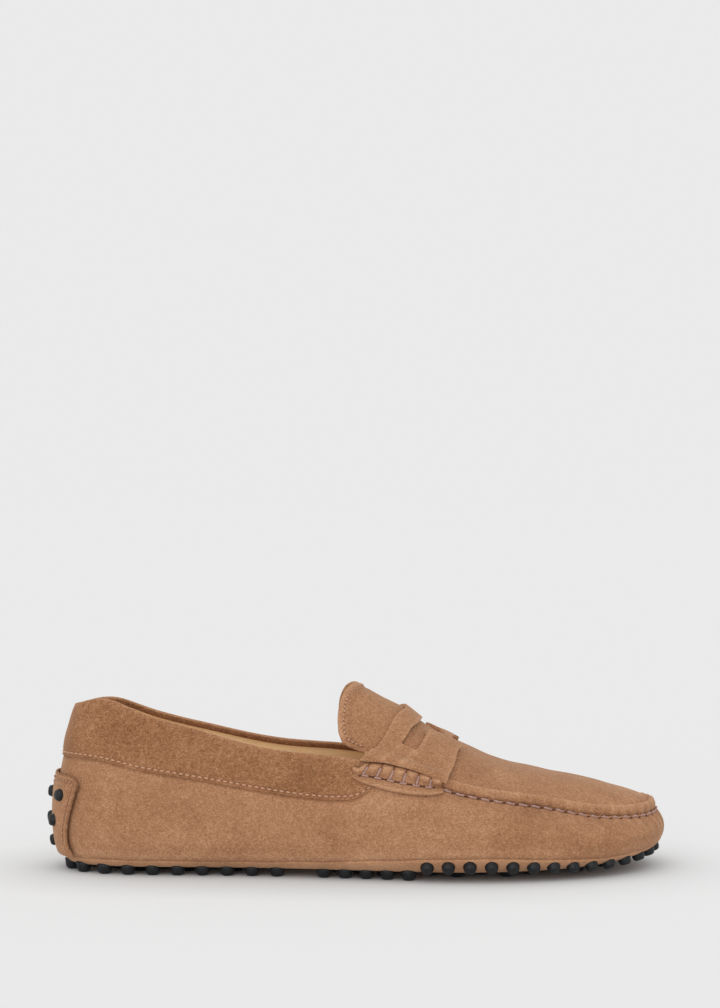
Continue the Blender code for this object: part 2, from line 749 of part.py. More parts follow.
def roll(name, side, collection, finish):
    """Roll that holds one end of the strap: a sheet over the seam, gathered into puffs above a lip."""
    steps = PUFF_STEPS * PUFFS
    outer = []
    inner = []
    gathered = PUFF_START + (1 - PUFF_START) * np.arange(steps + 1) / steps
    for place in (0.0, *gathered):
        where, _, below = open_curve(ROLL_EDGES, place)
        at = station_at(along(where), side)
        above = roll_top(at)
        here = section(at)
        height = here["top"] - here["feather"]
        puff_place = max(place - PUFF_START, 0) / (1 - PUFF_START)
        puff = abs(math.sin(math.pi * PUFFS * puff_place)) * PUFF_DEPTH
        out = []
        inn = []
        for share, swell, thick in ROLL_SECTION:
            rise = above - (above + below * BEAD_HEIGHT) * share
            lift = GAP + max(band_step(at), BEAD_OVERHANG)
            full = lift + ROLL_SHEET * thick + puff * swell
            base = seam_point(at, 0, rise) if rise > 0 else wall_point(at, 1 + rise / height)
            way = np.append(outward(at), 0)
            inn.append(base + way * lift)
            out.append(base + way * full)
        outer.append(out)
        inner.append(inn)
    return sheet(name, np.array(outer), np.array(inner), finish, collection)


def heel_sheet(name, finish, collection, depth, thickness, size):
    """A curved sheet on the back of the heel, shaped as the tab's outline scaled by size."""
    low, high = TAB_SPAN
    middle = (low + high) / 2
    made = bmesh.new()
    rows = []
    for share, half in TAB_EDGE:
        across = np.linspace(-half, half, TAB_STEPS + 1) * size
        height = middle + (low + (high - low) * share - middle) * size
        rows.append(wall_point(across, height - TAB_SAG * share * (across / half) ** 2, -depth))
    add_grid(made, np.array(rows))
    bmesh.ops.recalc_face_normals(made, faces=made.faces)
    if sum(face.normal.x for face in made.faces) > 0:
        bmesh.ops.reverse_faces(made, faces=made.faces)
    obj = new_object(name, finish, collection)
    thicken(obj, made, thickness)
    return obj


def heel_studs(made, depth, root, height, wider=0.0):
    """Adds the heel's pebbles, rooted at a depth outside the wall."""
    for share, row in HEEL_ROWS:
        for place in row:
            foot = wall_point(np.array([place]), share, -depth)[0]
            way = normals(wall_point, np.array([place]), share)[0]
            radius = HEEL_PEBBLE_RADIUS + wider
            tip_radius = HEEL_PEBBLE_TIP_RADIUS if wider == 0 else radius
            pebble(made, foot, way, root, height, radius, tip_radius)


def heel(collection, helpers, suede, rubber):
    """Rubber plate with its pebbles on the back of the heel, and the suede tab that they come through."""
    plate = heel_sheet("heel_pebbles", rubber, collection, GAP, PLATE_SHEET, PLATE_SHARE)
    made = bmesh.new()
    over = OVER_HEEL - GAP - PLATE_SHEET
    heel_studs(made, GAP + PLATE_SHEET, PLATE_SHEET / 2, over + HEEL_PEBBLE_HEIGHT)
    boolean(plate, "Pebbles", "UNION", cutter("heel_pebbles_to_join", rubber, helpers, made))
    tab = heel_sheet("heel_tab", suede, collection, OVER_HEEL - TAB_SHEET, TAB_SHEET, 1.0)
    made = bmesh.new()
    heel_studs(made, OVER_HEEL, TAB_SHEET * 2, HEEL_PEBBLE_HEIGHT, wider=GAP)
    boolean(tab, "Holes", "DIFFERENCE", cutter("heel_holes", suede, helpers, made))


def main():
    for obj in list(bpy.data.objects):
        bpy.data.objects.remove(obj, do_unlink=True)
    collection = bpy.data.collections.new("driving_moccasin")
    helpers = bpy.data.collections.new("helpers")
    for made in (collection, helpers):
        bpy.context.scene.collection.children.link(made)
    suede = material("suede", SUEDE)
    dark = material("dark_suede", DARK_SUEDE)
    lining = material("lining", LINING)
    rubber = material("rubber", RUBBER)
    upper(collection, suede)
    sole(collection, helpers, dark, rubber)
    tray("insole", lining, collection, SOLE_SHEET + GAP, INSOLE_SHEET, INSOLE_RIM, INSOLE_ROWS)
    apron(collection, suede)
    strap(collection, suede)
    roll("strap_roll_outer", 1, collection, suede)
    roll("strap_roll_inner", -1, collection, suede)
    heel(collection, helpers, suede, rubber)


main()
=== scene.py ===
# %% [markdown]
# # A driving moccasin in suede
# The shoe is a soft slip-on for the right foot: one piece of suede is pulled up round the foot and sewn to
# an apron on top, a slotted strap crosses the instep, and rubber pebbles carry it instead of a hard sole.
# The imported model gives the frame. Every surface below is worked out from the same section table as the
# solids, only much finer, so each visible piece lies where its solid lies.

# %% Load the frame
import math

import bmesh
import bpy
import numpy as np
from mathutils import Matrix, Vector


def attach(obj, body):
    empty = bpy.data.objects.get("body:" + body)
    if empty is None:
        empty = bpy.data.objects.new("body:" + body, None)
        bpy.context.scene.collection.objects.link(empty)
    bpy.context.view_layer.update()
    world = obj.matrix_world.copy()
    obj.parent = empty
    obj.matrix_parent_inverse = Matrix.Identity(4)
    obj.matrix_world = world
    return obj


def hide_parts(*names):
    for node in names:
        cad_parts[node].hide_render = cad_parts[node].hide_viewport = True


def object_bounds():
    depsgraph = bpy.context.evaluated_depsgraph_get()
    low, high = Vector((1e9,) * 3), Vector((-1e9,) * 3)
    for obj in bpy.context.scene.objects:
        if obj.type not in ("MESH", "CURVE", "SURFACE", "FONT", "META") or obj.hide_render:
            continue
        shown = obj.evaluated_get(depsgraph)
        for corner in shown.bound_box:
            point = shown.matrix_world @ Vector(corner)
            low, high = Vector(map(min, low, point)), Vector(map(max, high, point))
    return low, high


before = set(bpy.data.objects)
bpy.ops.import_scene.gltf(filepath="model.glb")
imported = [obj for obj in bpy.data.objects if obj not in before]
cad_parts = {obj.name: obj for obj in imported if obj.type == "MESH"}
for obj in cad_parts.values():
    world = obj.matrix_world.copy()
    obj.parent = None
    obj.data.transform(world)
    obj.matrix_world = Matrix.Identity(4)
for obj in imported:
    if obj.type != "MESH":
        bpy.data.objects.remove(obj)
cad_low, cad_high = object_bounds()
print("box of the solids in mm:", [round(1000 * v, 1) for v in (*cad_low, *cad_high)])

# %% [markdown]
# ## Sizes of the last
# A shoemaker measures a last at stations round it. The table does the same: 22 stations run from the back
# of the heel along the outer side to the toe and back along the inner side, and every column is a share of
# one named size. A spline through the rows gives the form between them. A scanned mesh would give the
# same form, but nobody could change the width of the ball in it.

# %% Driving sizes
UPPER_LENGTH = 0.2821
BALL_WIDTH = 0.1015
BACK_HEIGHT = 0.0756
TONGUE_HEIGHT = 0.0853
TOE_SPRING = 0.0055
MARGIN_HEIGHT = 0.0070

WALL = 0.0020
BAND_STEP = 0.0007
APRON_SHEET = 0.0020
STRAP_SHEET = 0.0016
ROLL_SHEET = 0.0017
SOLE_SHEET = 0.0030
INSOLE_SHEET = 0.0022
TAB_SHEET = 0.0011
PLATE_SHEET = 0.0007
GAP = 0.0003

PEBBLE_HEIGHT = 0.0036
PEBBLE_RADIUS = 0.0034
PEBBLE_PITCH = 0.0118
PEBBLE_ROOT = 0.0012
MARGIN_PEBBLE_HEIGHT = 0.0029
HEEL_PEBBLE_HEIGHT = 0.0026
HEEL_PEBBLE_RADIUS = 0.0028

BEAD_WIDTH = 0.0037
BEAD_HEIGHT = 0.0047
BEAD_TOP = BEAD_WIDTH * 0.6
BEAD_OVERHANG = WALL * 0.1
CREASE_HEIGHT = 0.0040
PUFFS = 6
PUFF_DEPTH = 0.0016
PUFF_START = 0.12

CORNER_POWER = 2.3
SIDE_POWER = 1.75
ARCH_POWER = 2.3
CROWN_START = 0.016

OVER_HEEL = GAP + PLATE_SHEET + GAP + TAB_SHEET
LEATHER_BACK = cad_low.x + HEEL_PEBBLE_HEIGHT + OVER_HEEL
print("leather starts at x =", round(1000 * LEATHER_BACK, 2), "mm")

# %% Section tables
# Columns: along as a share of UPPER_LENGTH, across of half BALL_WIDTH, turn and lean of BALL_WIDTH, lift of
# TOE_SPRING, margin of MARGIN_HEIGHT, bulge and top of BACK_HEIGHT.
COLUMNS = ("along", "across", "turn", "lean", "lift", "margin", "bulge", "top")
SECTIONS = (
    (0.000, 0.00, 0.070, 0.089, 0.00, 0.50, 0.357, 1.000),
    (0.021, -0.36, 0.078, 0.103, 0.00, 0.43, 0.344, 1.026),
    (0.080, -0.57, 0.088, 0.108, 0.00, 0.43, 0.304, 1.040),
    (0.150, -0.65, 0.095, 0.094, 0.00, 0.43, 0.285, 0.955),
    (0.245, -0.68, 0.099, 0.079, 0.00, 0.43, 0.278, 0.860),
    (0.365, -0.75, 0.108, 0.079, 0.00, 0.50, 0.278, 0.752),
    (0.500, -0.89, 0.118, 0.108, 0.00, 0.71, 0.278, 0.690),
    (0.645, -1.00, 0.123, 0.128, 0.00, 1.00, 0.265, 0.520),
    (0.776, -0.94, 0.123, 0.123, 0.05, 0.86, 0.251, 0.440),
    (0.890, -0.72, 0.108, 0.103, 0.30, 0.50, 0.231, 0.365),
    (0.970, -0.36, 0.099, 0.064, 0.80, 0.36, 0.231, 0.344),
    (1.000, 0.10, 0.108, 0.044, 1.00, 0.43, 0.245, 0.350),
    (0.982, 0.50, 0.099, 0.064, 0.90, 0.36, 0.245, 0.357),
    (0.911, 0.80, 0.108, 0.094, 0.45, 0.50, 0.238, 0.377),
    (0.801, 0.97, 0.123, 0.118, 0.08, 0.86, 0.251, 0.440),
    (0.670, 1.00, 0.123, 0.123, 0.00, 1.00, 0.265, 0.520),
    (0.500, 0.79, 0.138, 0.079, 0.20, 0.71, 0.278, 0.685),
    (0.370, 0.66, 0.128, 0.050, 0.45, 0.57, 0.291, 0.742),
    (0.245, 0.64, 0.105, 0.060, 0.25, 0.43, 0.291, 0.838),
    (0.150, 0.62, 0.099, 0.084, 0.05, 0.43, 0.295, 0.930),
    (0.080, 0.56, 0.090, 0.103, 0.00, 0.43, 0.304, 1.012),
    (0.021, 0.36, 0.078, 0.108, 0.00, 0.43, 0.344, 1.008),
)
STATIONS = len(SECTIONS)
TOE = STATIONS / 2
THROAT = 6

# Crown of the apron: along as a share of UPPER_LENGTH, height as a share of TONGUE_HEIGHT
CROWN = (
    (0.455, 1.060),
    (0.498, 0.989),
    (0.531, 0.924),
    (0.568, 0.858),
    (0.605, 0.768),
    (0.663, 0.668),
    (0.728, 0.576),
    (0.794, 0.526),
    (0.860, 0.480),
    (0.915, 0.434),
    (0.964, 0.380),
)

# Free edge of the tongue: share of the half width from its middle, along as a share of UPPER_LENGTH
TONGUE_EDGE = (
    (0.00, 0.477),
    (0.30, 0.466),
    (0.50, 0.455),
    (0.70, 0.447),
    (0.85, 0.446),
    (0.92, 0.449),
    (0.97, 0.461),
    (1.00, 0.498),
)
# Stations over which the rows are pulled back, and how far the rounded cut edge stands past the last row
PULL_BACK = 4 / 3
TONGUE_ROUND = 0.0018

# Seam of the quarter band: along as a share of UPPER_LENGTH, share of the wall's height
BAND_SEAM = (
    (0.00, 0.655),
    (0.08, 0.622),
    (0.20, 0.626),
    (0.35, 0.622),
    (0.42, 0.602),
    (0.46, 0.602),
    (0.49, 0.640),
    (0.52, 0.780),
    (0.55, 0.860),
    (1.00, 0.860),
)
BAND_FADE = (0.50, 0.53)
print(STATIONS, "stations, the toe is station", int(TOE))

# %% [markdown]
# ## Curves through the tables
# Two curves are enough. A closed cubic spline runs through the stations, because the shoe has no end to
# start from. Open tables are read by cubic pieces, whose slope at a row is the mean slope of its two
# neighbours. Both take whole arrays of places, so a grid of a hundred thousand points is one call.


# %% Splines
def closed_spline(values, at):
    """Cubic spline with even knots through a closed row of values: straight part between the two knots, plus
    second derivatives times (part cubed minus part) over 6, solved so that slopes meet at each knot."""
    values = np.asarray(values, float)
    count = len(values)
    around = np.arange(count)
    bends = np.zeros((count, count))
    bends[around, around] = 4
    bends[around, (around + 1) % count] = 1
    bends[around, (around - 1) % count] = 1
    turns = np.roll(values, -1, 0) - 2 * values + np.roll(values, 1, 0)
    second = np.linalg.solve(bends, 6 * turns)
    at = np.asarray(at, float) % count
    low = np.floor(at).astype(int) % count
    high = (low + 1) % count
    part = (at - np.floor(at))[..., None]
    rest = 1 - part
    straight = rest * values[low] + part * values[high]
    curved = (rest**3 - rest) * second[low] + (part**3 - part) * second[high]
    return straight + curved / 6


def open_curve(table, at):
    """Curve through a table whose first column is the place: between two rows, the cubic that has both
    rows' values and slopes, where a row's slope is the mean of its neighbours' slopes."""
    table = np.asarray(table, float)
    knots = table[:, 0]
    values = table[:, 1:]
    slopes = np.gradient(values, knots, axis=0)
    at = np.clip(np.asarray(at, float), knots[0], knots[-1])
    low = np.clip(np.searchsorted(knots, at, side="right") - 1, 0, len(knots) - 2)
    width = (knots[low + 1] - knots[low])[..., None]
    part = (at - knots[low])[..., None] / width
    start = (1 + 2 * part) * (1 - part) ** 2 * values[low]
    leave = part * (1 - part) ** 2 * slopes[low] * width
    end = part**2 * (3 - 2 * part) * values[low + 1]
    arrive = part**2 * (part - 1) * slopes[low + 1] * width
    return start + leave + end + arrive


def smooth_rows(points, steps):
    """Cubic through every row of an array, with steps points to a piece: half of t((p2 - p0) + t(2p0 - 5p1 +
    4p2 - p3 + t(3p1 - 3p2 + p3 - p0))) added to p1."""
    ends = np.concatenate([2 * points[:1] - points[1:2], points, 2 * points[-1:] - points[-2:-1]])
    t = (np.arange(steps) / steps).reshape(1, steps, *[1] * (points.ndim - 1))
    p0, p1, p2, p3 = (ends[k : len(ends) - 3 + k, None] for k in range(4))
    cubic = 2 * p0 - 5 * p1 + 4 * p2 - p3 + t * (3 * (p1 - p2) + p3 - p0)
    pieces = p1 + 0.5 * t * ((p2 - p0) + t * cubic)
    return np.concatenate([pieces.reshape(-1, *points.shape[1:]), points[-1:]])


def ease(value):
    """0 below 0, 1 above 1 and 3t squared - 2t cubed between them."""
    value = np.clip(value, 0, 1)
    return value * value * (3 - 2 * value)


def hump(distance, width):
    """A soft hump: e to the minus square of distance over width."""
    return np.exp(-((distance / width) ** 2))


# %% [markdown]
# ## The two faces of the last
# The wall goes from the line where the sole's leather ends up to the collar or the apron's seam. The corner
# goes from that line down to the floor. Both lie inside the widest line by an amount that depends on their
# height alone: a superellipse below it, a power curve above it.


# %% Last
SLOPE_STEP = 0.01  # in stations or shares, on either side of a place


def along(share):
    """Place on X of a share of the upper's length."""
    return LEATHER_BACK + np.asarray(share) * UPPER_LENGTH


def share_along(x):
    """Share of the upper's length of a place on X."""
    return (x - LEATHER_BACK) / UPPER_LENGTH


def section(at):
    """The table's columns at station numbers, in metres."""
    shares = dict(zip(COLUMNS, np.moveaxis(closed_spline(SECTIONS, at), -1, 0)))
    base = PEBBLE_HEIGHT + np.maximum(shares["lift"], 0) * TOE_SPRING
    return {
        "x": along(shares["along"]),
        "y": shares["across"] * BALL_WIDTH / 2,
        "turn": shares["turn"] * BALL_WIDTH,
        "lean": shares["lean"] * BALL_WIDTH,
        "base": base,
        "feather": base + shares["margin"] * MARGIN_HEIGHT,
        "bulge": shares["bulge"] * BACK_HEIGHT,
        "top": shares["top"] * BACK_HEIGHT,
    }


def outward(at):
    """Unit normal of the widest line in plan: its direction turned by a right angle."""
    ahead = section(np.asarray(at) + SLOPE_STEP)
    behind = section(np.asarray(at) - SLOPE_STEP)
    run = unit(np.stack([ahead["x"] - behind["x"], ahead["y"] - behind["y"]], -1))
    return np.stack([run[..., 1], -run[..., 0]], -1)


def placed(at, inset, height):
    """Points that lie inset inside the widest line, at a height."""
    here = section(at)
    normal = outward(at)
    x = here["x"] - normal[..., 0] * inset
    y = here["y"] - normal[..., 1] * inset
    return np.stack([x, y, height + 0 * x], -1)


def wall_point(at, share, depth=0.0):
    """A face of the wall: inset = depth + turn (1 - (1 - b^p)^(1/p)) + lean a^q, where b and a are how far
    the place lies below and above the widest line."""
    here = section(at)
    height = here["feather"] + share * (here["top"] - here["feather"])
    below = np.clip((here["bulge"] - height) / (here["bulge"] - here["base"] - depth), 0, 1)
    above = np.clip((height - here["bulge"]) / (here["top"] - here["bulge"]), 0, None)
    turned = 1 - (1 - below**CORNER_POWER) ** (1 / CORNER_POWER)
    inset = depth + (here["turn"] - depth) * turned + here["lean"] * above**SIDE_POWER
    return placed(at, inset, height)


def corner_point(at, share, depth=0.0, rim=1.0):
    """A face of the sole's leather: the same superellipse read by its angle, so that it can go right under
    the foot. share runs from 0 at the rim to 1 where the floor begins."""
    here = section(at)
    down = here["bulge"] - here["base"] - depth
    start = here["bulge"] - here["base"] - rim * (here["feather"] - here["base"])
    first = np.arcsin(np.clip(start / down, 0, 1) ** (CORNER_POWER / 2))
    angle = first + share * (math.pi / 2 - first)
    height = here["bulge"] - down * np.sin(angle) ** (2 / CORNER_POWER)
    cosine = np.clip(np.cos(angle), 0, 1)
    inset = depth + (here["turn"] - depth) * (1 - cosine ** (2 / CORNER_POWER))
    return placed(at, inset, height)


def normals(surface, at, share):
    """Unit normals of a surface of two parameters: the cross product of its two slopes, out of the shoe."""
    step = SLOPE_STEP
    share = np.clip(share, 2 * step, 1 - 2 * step)
    round_it = surface(at + step, share) - surface(at - step, share)
    up = surface(at, share + step) - surface(at, share - step)
    normal = unit(np.cross(round_it, up))
    ways = outward(at)
    outer = normal[..., 0] * ways[..., 0] + normal[..., 1] * ways[..., 1]
    return normal * np.where(outer < 0, -1.0, 1.0)[..., None]


def seam_point(at, inward, rise):
    """A point near the apron's seam: inward of the wall's top edge in plan, and above it."""
    here = section(at)
    return placed(at, here["lean"] + inward, here["top"] + rise)


def station_at(x, side):
    """The station number, on one side of the shoe, where the wall's top edge is at x."""
    at = np.linspace(3.0, TOE, 400) * side
    tops = seam_point(at, 0 * at, 0 * at)
    return np.interp(x, tops[:, 0], at)


def band_fade(at):
    """1 along the quarter band, falling to 0 where it runs out under the strap."""
    start, end = BAND_FADE
    return np.clip((end - share_along(section(at)["x"])) / (end - start), 0, 1)


def grid_normals(points):
    """Unit normals of a grid from the steps between its rows and columns, turned to +Z on the whole."""
    normal = unit(np.cross(np.gradient(points, axis=0), np.gradient(points, axis=1)))
    return normal if normal[..., 2].sum() > 0 else -normal


def unit(vectors):
    """Vectors divided by their lengths."""
    return vectors / np.maximum(np.linalg.norm(vectors, axis=-1, keepdims=True), 1e-12)


def run_length(points):
    """Distance along a row of points from its first one."""
    steps = np.linalg.norm(np.diff(points[..., :3], axis=0), axis=-1)
    return np.concatenate([[0], np.cumsum(steps)])


ball = wall_point(np.array([7.0, 15.0]), np.array([0.3, 0.3]))
print("width at the ball in mm:", np.round(1000 * (ball[1, 1] - ball[0, 1]), 1))

# %% [markdown]
# ## From grids to meshes
# A grid of points becomes quads by arithmetic on its row and column numbers. A sheet has an outer and an
# inner grid, and their borders are joined by a half round, as a cut edge of leather is soft. Where a grid
# is folded on itself, as at the toe, its doubles are merged, so that every piece is one closed skin.


# %% Mesh helpers
def grid_quads(rows, columns, wrap_rows=False, wrap_columns=False):
    """Corner numbers of a grid's quads: row times columns plus column, for a cell and its neighbours."""
    r = np.arange(rows if wrap_rows else rows - 1)[:, None]
    c = np.arange(columns if wrap_columns else columns - 1)[None, :]
    down = (r + 1) % rows
    right = (c + 1) % columns
    corners = [r * columns + c, r * columns + right, down * columns + right, down * columns + c]
    return np.stack(corners, -1).reshape(-1, 4)


def repeat_quads(rows, columns, count):
    """Quads of count tubes that lie one after the other in one array of points."""
    quads = grid_quads(rows, columns, wrap_columns=True)
    return (quads[None] + rows * columns * np.arange(count)[:, None, None]).reshape(-1, 4)


def show(name, data):
    """An object for a mesh, lamp or camera, linked to the scene."""
    obj = bpy.data.objects.new(name, data)
    bpy.context.scene.collection.objects.link(obj)
    return obj


def clean(mesh, merge, collapsed):
    """Merges a mesh's doubles and turns its faces outwards. Edges shorter than collapsed are dropped."""
    made = bmesh.new()
    made.from_mesh(mesh)
    bmesh.ops.remove_doubles(made, verts=made.verts, dist=merge)
    if collapsed:
        bmesh.ops.dissolve_degenerate(made, edges=made.edges, dist=collapsed)
    bmesh.ops.recalc_face_normals(made, faces=made.faces)
    made.to_mesh(mesh)
    made.free()
    mesh.shade_smooth()


def dress(piece, node):
    """Hangs a piece on the root body and hides the imported part of the node it stands for."""
    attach(piece, "root")
    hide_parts(node)


def build(name, points, quads, materials, groups=None, shade=None, merge=2e-5):
    """Mesh object from arrays of corners and quads, with a material number for each quad and a shade for
    each corner."""
    mesh = bpy.data.meshes.new(name)
    mesh.from_pydata(points.reshape(-1, 3).tolist(), [], quads.tolist())
    if groups is not None:
        mesh.polygons.foreach_set("material_index", np.asarray(groups, np.int32))
    tone = mesh.attributes.new("shade", "FLOAT", "POINT")
    tone.data.foreach_set("value", np.zeros(len(mesh.vertices), np.float32) if shade is None
                          else np.asarray(shade, np.float32).ravel())
    clean(mesh, merge, merge / 4)
    for material in materials:
        mesh.materials.append(material)
    print(name, len(mesh.polygons), "faces")
    return show(name, mesh)


def closed_sheet(name, outer, inner, materials, sides="trbl", inside=0, shade=None, steps=4, swell=1.0):
    """A solid sheet between two grids. Round its border, point = outer (1 + cos a) / 2 + inner
    (1 - cos a) / 2 + way * half the thickness * sin a, where way points out of the sheet along it."""
    rows, columns = outer.shape[:2]
    index = np.arange(rows * columns).reshape(rows, columns)
    edges = {"t": index[0], "r": index[:, -1], "b": index[-1, ::-1], "l": index[::-1, 0]}
    beside = {"t": index[1], "r": index[:, -2], "b": index[-2, ::-1], "l": index[::-1, 1]}
    chain = np.concatenate([edges[s] for s in sides])
    near = np.concatenate([beside[s] for s in sides])
    flat_outer = outer.reshape(-1, 3)
    flat_inner = inner.reshape(-1, 3)
    first = flat_outer[chain]
    last = flat_inner[chain]
    way = unit(first - flat_outer[near])
    half = np.linalg.norm(first - last, axis=-1, keepdims=True) / 2 * swell
    turns = math.pi * np.arange(1, steps) / steps
    rings = [first * (1 + math.cos(a)) / 2 + last * (1 - math.cos(a)) / 2 + way * half * math.sin(a)
             for a in turns]
    count = len(chain)
    loops = [chain]
    loops += [2 * rows * columns + count * k + np.arange(count) for k in range(steps - 1)]
    loops += [chain + rows * columns]
    strips = [np.stack([a, np.roll(a, -1), np.roll(b, -1), b], -1) for a, b in zip(loops, loops[1:])]
    quads = grid_quads(rows, columns)
    tone = np.zeros((rows, columns)) if shade is None else shade
    tones = np.concatenate([tone.ravel(), 0 * tone.ravel(), np.tile(tone.ravel()[chain], steps - 1)])
    points = np.concatenate([flat_outer, flat_inner, *rings])
    groups = np.repeat([0, inside, 0], [len(quads), len(quads), len(strips) * count])
    faces = np.concatenate([quads, quads + rows * columns, *strips])
    return build(name, points, faces, materials, groups, tones)


# %% [markdown]
# ## Shader arithmetic
# A finish is a sum of patterns, so it reads best as a sum. The small class below wraps a socket and turns
# + - * into Math nodes, also when the number stands first. Every other node comes from one method that
# sets a node's options before its inputs.


# %% Sockets as numbers
class Value:
    """A socket that can be used in Python sums."""

    def __init__(self, paint, socket):
        self.paint = paint
        self.socket = socket

    def math(self, operation, first, second):
        return self.paint.node("ShaderNodeMath", {"operation": operation}, {0: first, 1: second})

    def __add__(self, other):
        return self.math("ADD", self, other)

    def __radd__(self, other):
        return self.math("ADD", other, self)

    def __sub__(self, other):
        return self.math("SUBTRACT", self, other)

    def __rsub__(self, other):
        return self.math("SUBTRACT", other, self)

    def __mul__(self, other):
        return self.math("MULTIPLY", self, other)

    def __rmul__(self, other):
        return self.math("MULTIPLY", other, self)


class Paint:
    """One material: a Principled shader, its node tree and the nodes that feed it."""

    def __init__(self, name, **constants):
        self.material = bpy.data.materials.new(name)
        self.material.use_nodes = True
        self.tree = self.material.node_tree
        self.shader = self.tree.nodes["Principled BSDF"]
        for socket, value in constants.items():
            self.shader.inputs[socket.replace("_", " ")].default_value = value
        self.place = self.node("ShaderNodeTexCoord", out="Object")

    def node(self, kind, settings=None, inputs=None, out=0):
        """A new node: its settings first, then the values or links of its inputs. Returns one output."""
        made = self.tree.nodes.new(kind)
        for key, value in (settings or {}).items():
            setattr(made, key, value)
        for key, value in (inputs or {}).items():
            self.link(value, made.inputs[key])
        return Value(self, made.outputs[out])

    def link(self, value, socket):
        if isinstance(value, Value):
            self.tree.links.new(value.socket, socket)
        else:
            socket.default_value = value

    def feed(self, **links):
        """Links values to the shader's sockets."""
        for socket, value in links.items():
            self.link(value, self.shader.inputs[socket.replace("_", " ")])

    def noise(self, scale, detail=2.0, roughness=0.5, distortion=0.0, stretch=(1, 1, 1)):
        """Noise between 0 and 1 about 0.5, with scale cells to a metre, stretched along the axes."""
        place = self.node("ShaderNodeMapping", None, {"Vector": self.place, "Scale": stretch})
        settings = {"Scale": scale, "Detail": detail, "Roughness": roughness, "Distortion": distortion}
        return self.node("ShaderNodeTexNoise", None, {"Vector": place, **settings})

    def attribute(self, name):
        return self.node("ShaderNodeAttribute", {"attribute_name": name}, out="Fac")

    def mix(self, factor, first, second):
        """Colour between two colours."""
        inputs = {0: factor, 6: first, 7: second}
        return self.node("ShaderNodeMix", {"data_type": "RGBA"}, inputs, out=2)

    def clamp(self, value):
        return self.node("ShaderNodeClamp", None, {"Value": value})

    def bump(self, height, distance, strength=1.0):
        inputs = {"Height": height, "Distance": distance, "Strength": strength}
        return self.node("ShaderNodeBump", None, inputs)


def colour(red, green, blue):
    """A colour from its red, green and blue as a screen shows them, 0 to 255."""
    shown = np.array([red, green, blue]) / 255
    return (*np.where(shown < 0.04045, shown / 12.92, ((shown + 0.055) / 1.055) ** 2.4), 1.0)


# %% [markdown]
# ## Suede
# Suede is split leather with its fibres brushed up. It has no gloss, only a faint bloom where it turns away
# from the eye, which is Sheen. Its colour wanders in three sizes: broad clouds where the nap was stroked
# another way, clumps of a millimetre or two, and single fibres. The shade that a mesh carries is painted
# light: painted shade darkens seams, grooves, creases and joins, and painted highlights lighten edges, rims
# and crests.


# %% Suede
def suede(name, deep, middle, bright, nap=1.0):
    """Suede: colour = deep to bright by a tone of clouds, clumps, fibres and the mesh's painted shade and
    highlights.
    """
    paint = Paint(name, Sheen_Weight=0.30, Sheen_Roughness=0.45, Sheen_Tint=colour(236, 205, 176))
    paint.shader.inputs["Specular IOR Level"].default_value = 0.12
    clouds = paint.noise(26, 2.0, 0.5, 0.6) - 0.5
    strokes = paint.noise(90, 3.0, 0.55, 0.4, (0.6, 1, 1)) - 0.5
    clumps = paint.noise(430, 3.0, 0.6, 0.2) - 0.5
    fibres = paint.noise(1500, 2.0, 0.6, 0.0, (0.7, 1, 1)) - 0.5
    wander = clouds * 0.32 + strokes * 0.28 + clumps * (0.34 * nap) + fibres * (0.85 * nap)
    # The shade attribute adds the mesh's painted shade and painted highlights to the tone.
    tone = wander + 0.5 + paint.attribute("shade") * 0.5
    low = paint.mix(paint.clamp(tone * 2), deep, middle)
    base = paint.mix(paint.clamp(tone * 2 - 1), low, bright)
    height = clumps * 0.5 + fibres * 0.5 + strokes * 0.35
    bump = paint.bump(height, 0.00055 * nap, 0.75)
    paint.feed(Base_Color=base, Roughness=0.92 + fibres * 0.10, Normal=bump)
    return paint.material


SUEDE = suede("suede", colour(96, 61, 38), colour(163, 118, 86), colour(208, 166, 131))
BAND_SUEDE = suede("suede_collar", colour(86, 53, 32), colour(147, 102, 70), colour(194, 150, 115), 1.3)
# A lighter copy of the suede for the sole's leather, which faces down: painted light.
SOLE_SUEDE_LIT = suede("suede_bottom_lit", colour(112, 74, 48), colour(180, 134, 100), colour(218, 176, 140), 0.8)


# %% [markdown]
# ## Lining, rubber and thread
# The lining is smooth calf: pores as a fine bump and a low sheen of wax. The pebbles are moulded rubber, so
# they have a faint grain and a soft highlight. The thread is waxed and lies in two plies, which the mesh
# itself has, so its finish only needs a little fuzz.


# %% Lining, rubber, thread
def lining(name, deep, bright):
    """Smooth lining leather: two tones of tan by soft clouds, pores from cells."""
    paint = Paint(name, Coat_Weight=0.04, Coat_Roughness=0.45)
    clouds = paint.noise(35, 3.0) - 0.5
    grain = paint.noise(900, 2.0, 0.6) - 0.5
    # The shade attribute adds painted shade inside the collar and along the insole's rim.
    tone = paint.clamp(0.5 + clouds * 0.9 + grain * 0.5 + paint.attribute("shade") * 0.5)
    pores = paint.node("ShaderNodeTexVoronoi", None, {"Vector": paint.place, "Scale": 1300.0})
    base = paint.mix(tone, deep, bright)
    bump = paint.bump(pores + grain, 0.00012, 0.5)
    paint.feed(Base_Color=base, Roughness=0.52 + grain * 0.15, Normal=bump)
    return paint.material


def rubber():
    """Moulded black rubber: a bluish black, greyer where it is scuffed, with a fine grain."""
    paint = Paint("rubber")
    paint.shader.inputs["Specular IOR Level"].default_value = 0.35
    scuffs = paint.noise(600, 4.0, 0.65) - 0.5
    grain = paint.noise(3500, 1.0) - 0.5
    base = paint.mix(paint.clamp(0.35 + scuffs * 1.6), colour(9, 10, 12), colour(30, 33, 38))
    bump = paint.bump(grain + scuffs, 0.00008, 0.5)
    paint.feed(Base_Color=base, Roughness=0.46 + scuffs * 0.25, Normal=bump)
    return paint.material


